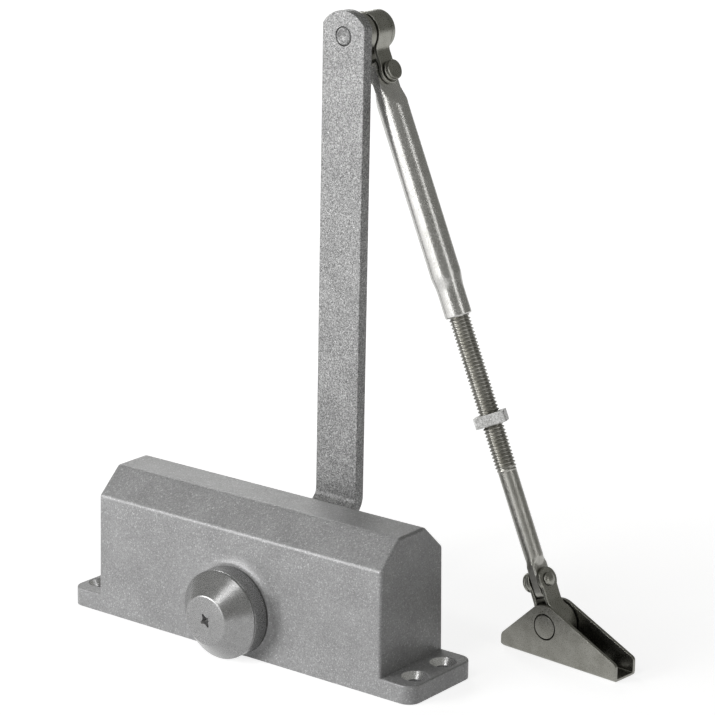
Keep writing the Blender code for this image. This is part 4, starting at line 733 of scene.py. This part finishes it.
def make_tube():
    """Round bar pressed flat at its top end, necked at its lower end and bored plain there for the
    threaded rod.
    """
    sides = 72
    sections = []
    top = 6.8
    stations = [top - 0.25 * i for i in range(0, 8)] + [4.6, 4.0, 3.0, 0.0, -3.0, -5.0]
    stations += [-6.0 - 9.4 * i / 16 for i in range(17)] + [-18.0, -30.0, -60.0, -84.0]
    stations += [-85.5 - 7.5 * i / 12 for i in range(13)] + [-98.0, -103.3, -103.7, -104.0]
    for z in stations:
        depth = -z
        if depth <= 6.0:
            half = TONGUE
        elif depth < 15.4:
            half = TONGUE + (TUBE_RADIUS + 0.9 - TONGUE) * ((depth - 6.0) / 9.4) ** 1.5
        else:
            half = 40.0
        if depth < 85.5:
            radius = TUBE_RADIUS
        elif depth < 93.0:
            share = (depth - 85.5) / 7.5
            radius = TUBE_RADIUS - 0.75 * share * share * (3 - 2 * share)
        else:
            radius = 5.7 - max(depth - 103.5, 0) * 0.7
        wide = math.sqrt(max(top * top - z * z, 0.3)) if z > 0 else 40.0
        ring_points = []
        for i in range(sides):
            t = math.tau * (i + 0.5) / sides
            c, s = abs(math.cos(t)), abs(math.sin(t))
            reach = soft_min(radius, half / max(c, 1e-3), 0.5)
            reach = min(reach, wide / max(s, 1e-3))
            ring_points.append((reach * math.cos(t), reach * math.sin(t), z))
        sections.append(ring_points)
    made = finish_mesh("forearm_bar", loft(sections), FOREARM)
    combine(made, turned([(0, -110), (5.2, -110), (5.1, -104), (4.8, -103.6), (4.8, -34),
                          (0, -32)], "Z", 56))
    combine(made, turned(bar(2.5, -REACH, REACH), "X", 40))
    show(made, "forearm", ["forearm_tube"], "drawn", sharp=40)


def make_rod():
    """Rod with a cut thread, a plain shank and a pressed tongue."""
    pitch, major, minor = 1.5, 4.5, 3.62
    sides = 36
    top, end = FOREARM_LENGTH - 58.0, FOREARM_LENGTH - 170.8
    rows = []
    per_pitch = 6
    count = round((top - end) / pitch * per_pitch)
    for row in range(count + 1):
        z = top - (top - end) * row / count
        points = []
        for i in range(sides):
            turn = i / sides
            place = (z / pitch + turn) % 1.0
            ridge = 1 - abs(2 * place - 1)
            share = min(max((ridge - 0.08) / 0.8, 0), 1)
            fade = min((top - z) / 1.2, 1.0)
            run_out = min((z - end) / 2.2, 1.0)
            radius = minor + (major - minor) * share
            radius = minor - 0.25 + (radius - minor + 0.25) * max(fade, 0)
            radius = 3.9 + (radius - 3.9) * max(run_out, 0)
            points.append((radius * math.cos(math.tau * turn),
                           radius * math.sin(math.tau * turn), z))
        rows.append(points)
    shank_end = FOREARM_LENGTH - 207.0
    for z in (end - 0.6, end - 6, end - 18, shank_end + 1.5, shank_end + 0.4):
        rows.append([(3.9 * math.cos(math.tau * i / sides), 3.9 * math.sin(math.tau * i / sides),
                      z) for i in range(sides)])
    for step in range(1, 13):
        share = step / 12
        ease = share * share * (3 - 2 * share)
        rows.append(tongue_section(shank_end - 4.4 * share, ease, sides))
    for z in (5.0, 2.0, 0.0, -2.0, -3.6):
        rows.append(tongue_section(z, 1.0, sides))
    for step in range(1, 7):
        t = math.radians(15 * step)
        rows.append(tongue_section(-3.6 - 3.4 * math.sin(t), 1.0, sides,
                                   0.55 + 0.45 * math.cos(t)))
    made = finish_mesh("forearm_rod", loft(rows), ROD)
    combine(made, turned(bar(2.5, -REACH, REACH), "X", 40))
    show(made, "rod", ["threaded_rod"], "thread", sharp=50)


def tongue_section(z, share, sides, shrink=1.0):
    """Ring that goes from the round shank to the flat, wide tongue."""
    half, wide = 2.1, 4.5
    points = []
    for i in range(sides):
        t = math.tau * i / sides
        c, s = math.cos(t), math.sin(t)
        flat = soft_min(half / max(abs(c), 1e-3), wide * shrink / max(abs(s), 1e-3), 0.6)
        reach = 3.9 * (1 - share) + flat * share
        points.append((reach * c, reach * s, z))
    return points


def make_lock_nut():
    """Square nut, turned on the rod."""
    half, side = 2.4, 6.6
    bm = prism(rounded_box(side, side, 0.8, steps=6), -half, half, axis="Z")
    bmesh.ops.rotate(bm, verts=bm.verts, cent=(0, 0, 0),
                     matrix=Matrix.Rotation(math.radians(36.7), 3, "Z"))
    made = finish_mesh("jam_nut", bm, NUT)
    round_edges(made, 0.3, segments=3, angle=50)
    combine(made, turned([(0, -9), (5.5, -9), (5.2, -half), (4.8, -half + 0.5),
                          (4.8, half - 0.5), (5.2, half), (5.5, 9), (0, 9)], "Z", 48))
    show(made, "lock_nut", ["lock_nut"], "nut", sharp=40)


# ---- shoe -------------------------------------------------------------------------------------
PIN_HEIGHT = SHOE.translation.z / MM
SHOE_HALF, SHOE_WALL, EAR = 6.6, 1.5, 9.2
BEHIND, AHEAD = 22.6, 37.0
SHORT_DROP, LONG_DROP = PIN_HEIGHT - 5.8, PIN_HEIGHT - 7.55


def ear_slope(reach, drop):
    """Angle of the line that leaves an end of the shoe and just meets its round ear."""
    return math.asin(EAR / math.hypot(reach, drop)) + math.atan2(drop, reach)


def shoe_side():
    short, long = ear_slope(BEHIND, SHORT_DROP), ear_slope(AHEAD, LONG_DROP)
    floor, cut, foot = -PIN_HEIGHT, 1.4, 0.7
    points = [(-BEHIND + cut, floor - 1), (AHEAD - foot, floor - 1), (AHEAD - foot, floor),
              (AHEAD, floor + foot)]
    points += corner((AHEAD, -LONG_DROP), (0, -1), (-math.cos(long), math.sin(long)), cut)
    points += arc((0, 0), EAR, 90 - math.degrees(long), 90 + math.degrees(short), 36)
    points += corner((-BEHIND, -SHORT_DROP), (math.cos(short), math.sin(short)), (0, -1), cut)
    points += [(-BEHIND, floor + cut), (-BEHIND + cut, floor)]
    return points


def corner(at, before, after, cut, steps=6):
    """Points that round a corner between two unit directions away from it."""
    start = (at[0] + before[0] * cut, at[1] + before[1] * cut)
    end = (at[0] + after[0] * cut, at[1] + after[1] * cut)
    out = []
    for step in range(steps + 1):
        t = step / steps
        out.append(tuple(start[k] * (1 - t) ** 2 + at[k] * 2 * t * (1 - t) + end[k] * t * t
                         for k in (0, 1)))
    return out


def channel_section():
    floor, bend = -PIN_HEIGHT, 2.0
    inner_bend, top = bend - SHOE_WALL, EAR + 2
    outer = [(SHOE_HALF, top)] + arc((SHOE_HALF - bend, floor + bend), bend, 0, -90, 8)
    outer += arc((-SHOE_HALF + bend, floor + bend), bend, 270, 180, 8) + [(-SHOE_HALF, top)]
    inside, level = SHOE_HALF - SHOE_WALL, floor + SHOE_WALL
    inner = [(-inside, top)]
    inner += arc((-inside + inner_bend, level + inner_bend), inner_bend, 180, 270, 4)
    inner += arc((inside - inner_bend, level + inner_bend), inner_bend, -90, 0, 4)
    return outer + inner + [(inside, top)]


def make_shoe():
    made = finish_mesh("shoe_channel", prism(channel_section(), -60, 60, axis="X"), SHOE)
    combine(made, prism(shoe_side(), -20, 20), "INTERSECT")
    for x in (-15.5, 18.9, 29.9):
        hole = turned(bar(2.3, -PIN_HEIGHT - 5, -PIN_HEIGHT + 4), "Z", 32, (x, 0, 0))
        combine(made, hole)
    pin = [(0, -REACH), (5.7, -REACH), (5.7, -SHOE_HALF - 0.01), (5.4, -SHOE_HALF + 0.3),
           (5.4, SHOE_HALF - 0.3), (5.7, SHOE_HALF + 0.01), (5.7, REACH), (0, REACH)]
    combine(made, turned(pin, "Y", 64))
    round_edges(made, 0.38, segments=3, angle=50)
    show(made, "shoe", ["shoe"], "shoe", sharp=45)
    shoulder = SHOE_HALF - SHOE_WALL - GAP
    profile = [(0, -SHOE_HALF), (4.6, -SHOE_HALF), (4.95, -SHOE_HALF + 0.1),
               (5.1, -SHOE_HALF + 0.4), (5.1, -shoulder), (EYE_PIN, -shoulder),
               (EYE_PIN, shoulder), (5.1, shoulder), (5.1, SHOE_HALF - 0.4),
               (4.95, SHOE_HALF - 0.1), (4.6, SHOE_HALF), (0, SHOE_HALF)]
    made = finish_mesh("shoe_rivet", turned(profile, "Y", 72), SHOE)
    show(made, "shoe", ["shoe_pin"], "shoe")


# ---- assembly ---------------------------------------------------------------------------------
make_housing()
make_end_plug()
make_nuts()
make_valves()
make_spring()
make_cap()
make_arm()
make_arm_fasteners()
make_elbow()
make_knuckle("elbow_strap", KNUCKLE, "upper_knuckle", "upper_knuckle")
make_rivet("elbow_strap_rivet", KNUCKLE, "upper_knuckle", "upper_rivet", 1)
make_tube()
make_rod()
make_lock_nut()
make_knuckle("shoe_strap", LOWER, "lower_knuckle", "lower_knuckle")
make_rivet("shoe_strap_rivet", LOWER, "lower_knuckle", "lower_rivet", -1)
make_shoe()

KEPT = {
    "plug_seal": "rubber", "front_shaft_seal": "rubber", "rear_shaft_seal": "rubber",
    "front_bearing": "turned", "rear_bearing": "turned", "spring_seat": "turned",
    "piston": "turned", "piston_ring": "spring",
    "check_ball": "ball", "check_retainer": "turned", "pinion": "turned",
}
for name, look in KEPT.items():
    carried = frame["nodes"][name]
    carried.data.materials.clear()
    carried.data.materials.append(LOOKS[look])


# ---- floor, lights, camera --------------------------------------------------------------------
def make_floor():
    bm = bmesh.new()
    bmesh.ops.create_circle(bm, cap_ends=True, segments=96, radius=6.0)
    mesh = bpy.data.meshes.new("floor")
    bm.to_mesh(mesh)
    bm.free()
    floor = bpy.data.objects.new("floor", mesh)
    bpy.context.scene.collection.objects.link(floor)
    floor.location.z = -0.0003
    paper, tree, shader = new_material("paper", 0.9, 0.0)
    shader.inputs["Specular IOR Level"].default_value = 0.0
    shader.inputs["Base Color"].default_value = (0.45, 0.45, 0.45, 1)
    path = node(tree, "ShaderNodeLightPath", (-900, -200))
    seen = node(tree, "ShaderNodeMath", (-700, -200), operation="MAXIMUM")
    tree.links.new(path.outputs["Is Camera Ray"], seen.inputs[0])
    tree.links.new(path.outputs["Is Glossy Ray"], seen.inputs[1])
    either = node(tree, "ShaderNodeMath", (-520, -200), operation="MAXIMUM")
    tree.links.new(seen.outputs[0], either.inputs[0])
    tree.links.new(path.outputs["Is Transmission Ray"], either.inputs[1])
    place = node(tree, "ShaderNodeTexCoord", (-1100, -420))
    away = node(tree, "ShaderNodeVectorMath", (-900, -420), operation="LENGTH")
    tree.links.new(place.outputs["Object"], away.inputs[0])
    glow = node(tree, "ShaderNodeMapRange", (-700, -420), interpolation_type="SMOOTHSTEP")
    glow.inputs["From Min"].default_value = 0.15
    glow.inputs["From Max"].default_value = 0.75
    glow.inputs["To Min"].default_value = 0.8
    glow.inputs["To Max"].default_value = 1.0
    tree.links.new(away.outputs["Value"], glow.inputs["Value"])
    strength = node(tree, "ShaderNodeMath", (-340, -200), operation="MULTIPLY")
    tree.links.new(either.outputs[0], strength.inputs[0])
    tree.links.new(glow.outputs["Result"], strength.inputs[1])
    shader.inputs["Emission Color"].default_value = (1, 1, 1, 1)
    tree.links.new(strength.outputs[0], shader.inputs["Emission Strength"])
    mesh.materials.append(paper)


def make_lamp(name, azimuth, elevation, distance, size, power, aim=(0.03, 0.0, 0.1)):
    """Soft box on a direction from the object; azimuth 0 is in front, 90 on the right."""
    a, e = math.radians(azimuth), math.radians(elevation)
    back = Vector((math.sin(a) * math.cos(e), -math.cos(a) * math.cos(e), math.sin(e)))
    data = bpy.data.lights.new(name, "AREA")
    data.shape = "RECTANGLE"
    data.size, data.size_y = size
    data.energy = power
    lamp = bpy.data.objects.new(name, data)
    lamp.visible_camera = False
    bpy.context.scene.collection.objects.link(lamp)
    lamp.location = Vector(aim) + back * distance
    lamp.rotation_mode = "QUATERNION"
    lamp.rotation_quaternion = (-back).to_track_quat("-Z", "Y")


def make_world():
    """Plain pale surroundings, seen brighter in the metal than they light it."""
    world = bpy.data.worlds.new("studio")
    bpy.context.scene.world = world
    world.use_nodes = True
    tree = world.node_tree
    backdrop = tree.nodes["Background"]
    path = node(tree, "ShaderNodeLightPath", (-600, 0))
    tint = node(tree, "ShaderNodeMix", (-300, 300), data_type="RGBA")
    tint.inputs[6].default_value = (1.0, 1.0, 0.94, 1)
    tint.inputs[7].default_value = (1.0, 1.0, 1.0, 1)
    tree.links.new(path.outputs["Is Camera Ray"], tint.inputs[0])
    tree.links.new(tint.outputs[2], backdrop.inputs["Color"])
    seen = node(tree, "ShaderNodeMapRange", (-300, 0))
    seen.inputs["To Min"].default_value = 0.09
    seen.inputs["To Max"].default_value = 0.27
    tree.links.new(path.outputs["Is Glossy Ray"], seen.inputs["Value"])
    white = node(tree, "ShaderNodeMath", (-120, 0), operation="MAXIMUM")
    tree.links.new(path.outputs["Is Camera Ray"], white.inputs[0])
    tree.links.new(seen.outputs["Result"], white.inputs[1])
    tree.links.new(white.outputs[0], backdrop.inputs["Strength"])


def make_camera():
    azimuth, elevation, roll = (math.radians(v) for v in (37.753, 15.819, 0.596))
    aim = Vector((0.046272, 0.0, 0.129933))
    back = Vector((math.sin(azimuth) * math.cos(elevation),
                   -math.cos(azimuth) * math.cos(elevation), math.sin(elevation)))
    right = Vector((math.cos(azimuth), math.sin(azimuth), 0))
    up = back.cross(right)
    tilted = right * math.cos(roll) + up * math.sin(roll)
    raised = up * math.cos(roll) - right * math.sin(roll)
    data = bpy.data.cameras.new("camera")
    data.sensor_width = 36.0
    data.lens = 145.68
    data.clip_start, data.clip_end = 0.05, 30.0
    camera = bpy.data.objects.new("camera", data)
    bpy.context.scene.collection.objects.link(camera)
    camera.matrix_world = frame_matrix(aim + back * 1.14247, tilted, raised, back)
    bpy.context.scene.camera = camera


make_floor()
make_lamp("panel_left", -32, 14, 1.6, (0.9, 0.6), 19.5)
make_lamp("key_above", 5, 48, 1.6, (0.45, 0.45), 2.9)
make_lamp("lamp_behind", -130, 25, 0.5, (0.25, 0.2), 0.5)
make_lamp("strip_front", -2, 14, 1.8, (0.35, 1.4), 5)
make_lamp("strip_right", 84, 12, 1.8, (0.28, 1.3), 3.4)
make_world()
make_camera()
bpy.context.scene.view_settings.view_transform = "Standard"

bpy.context.view_layer.update()
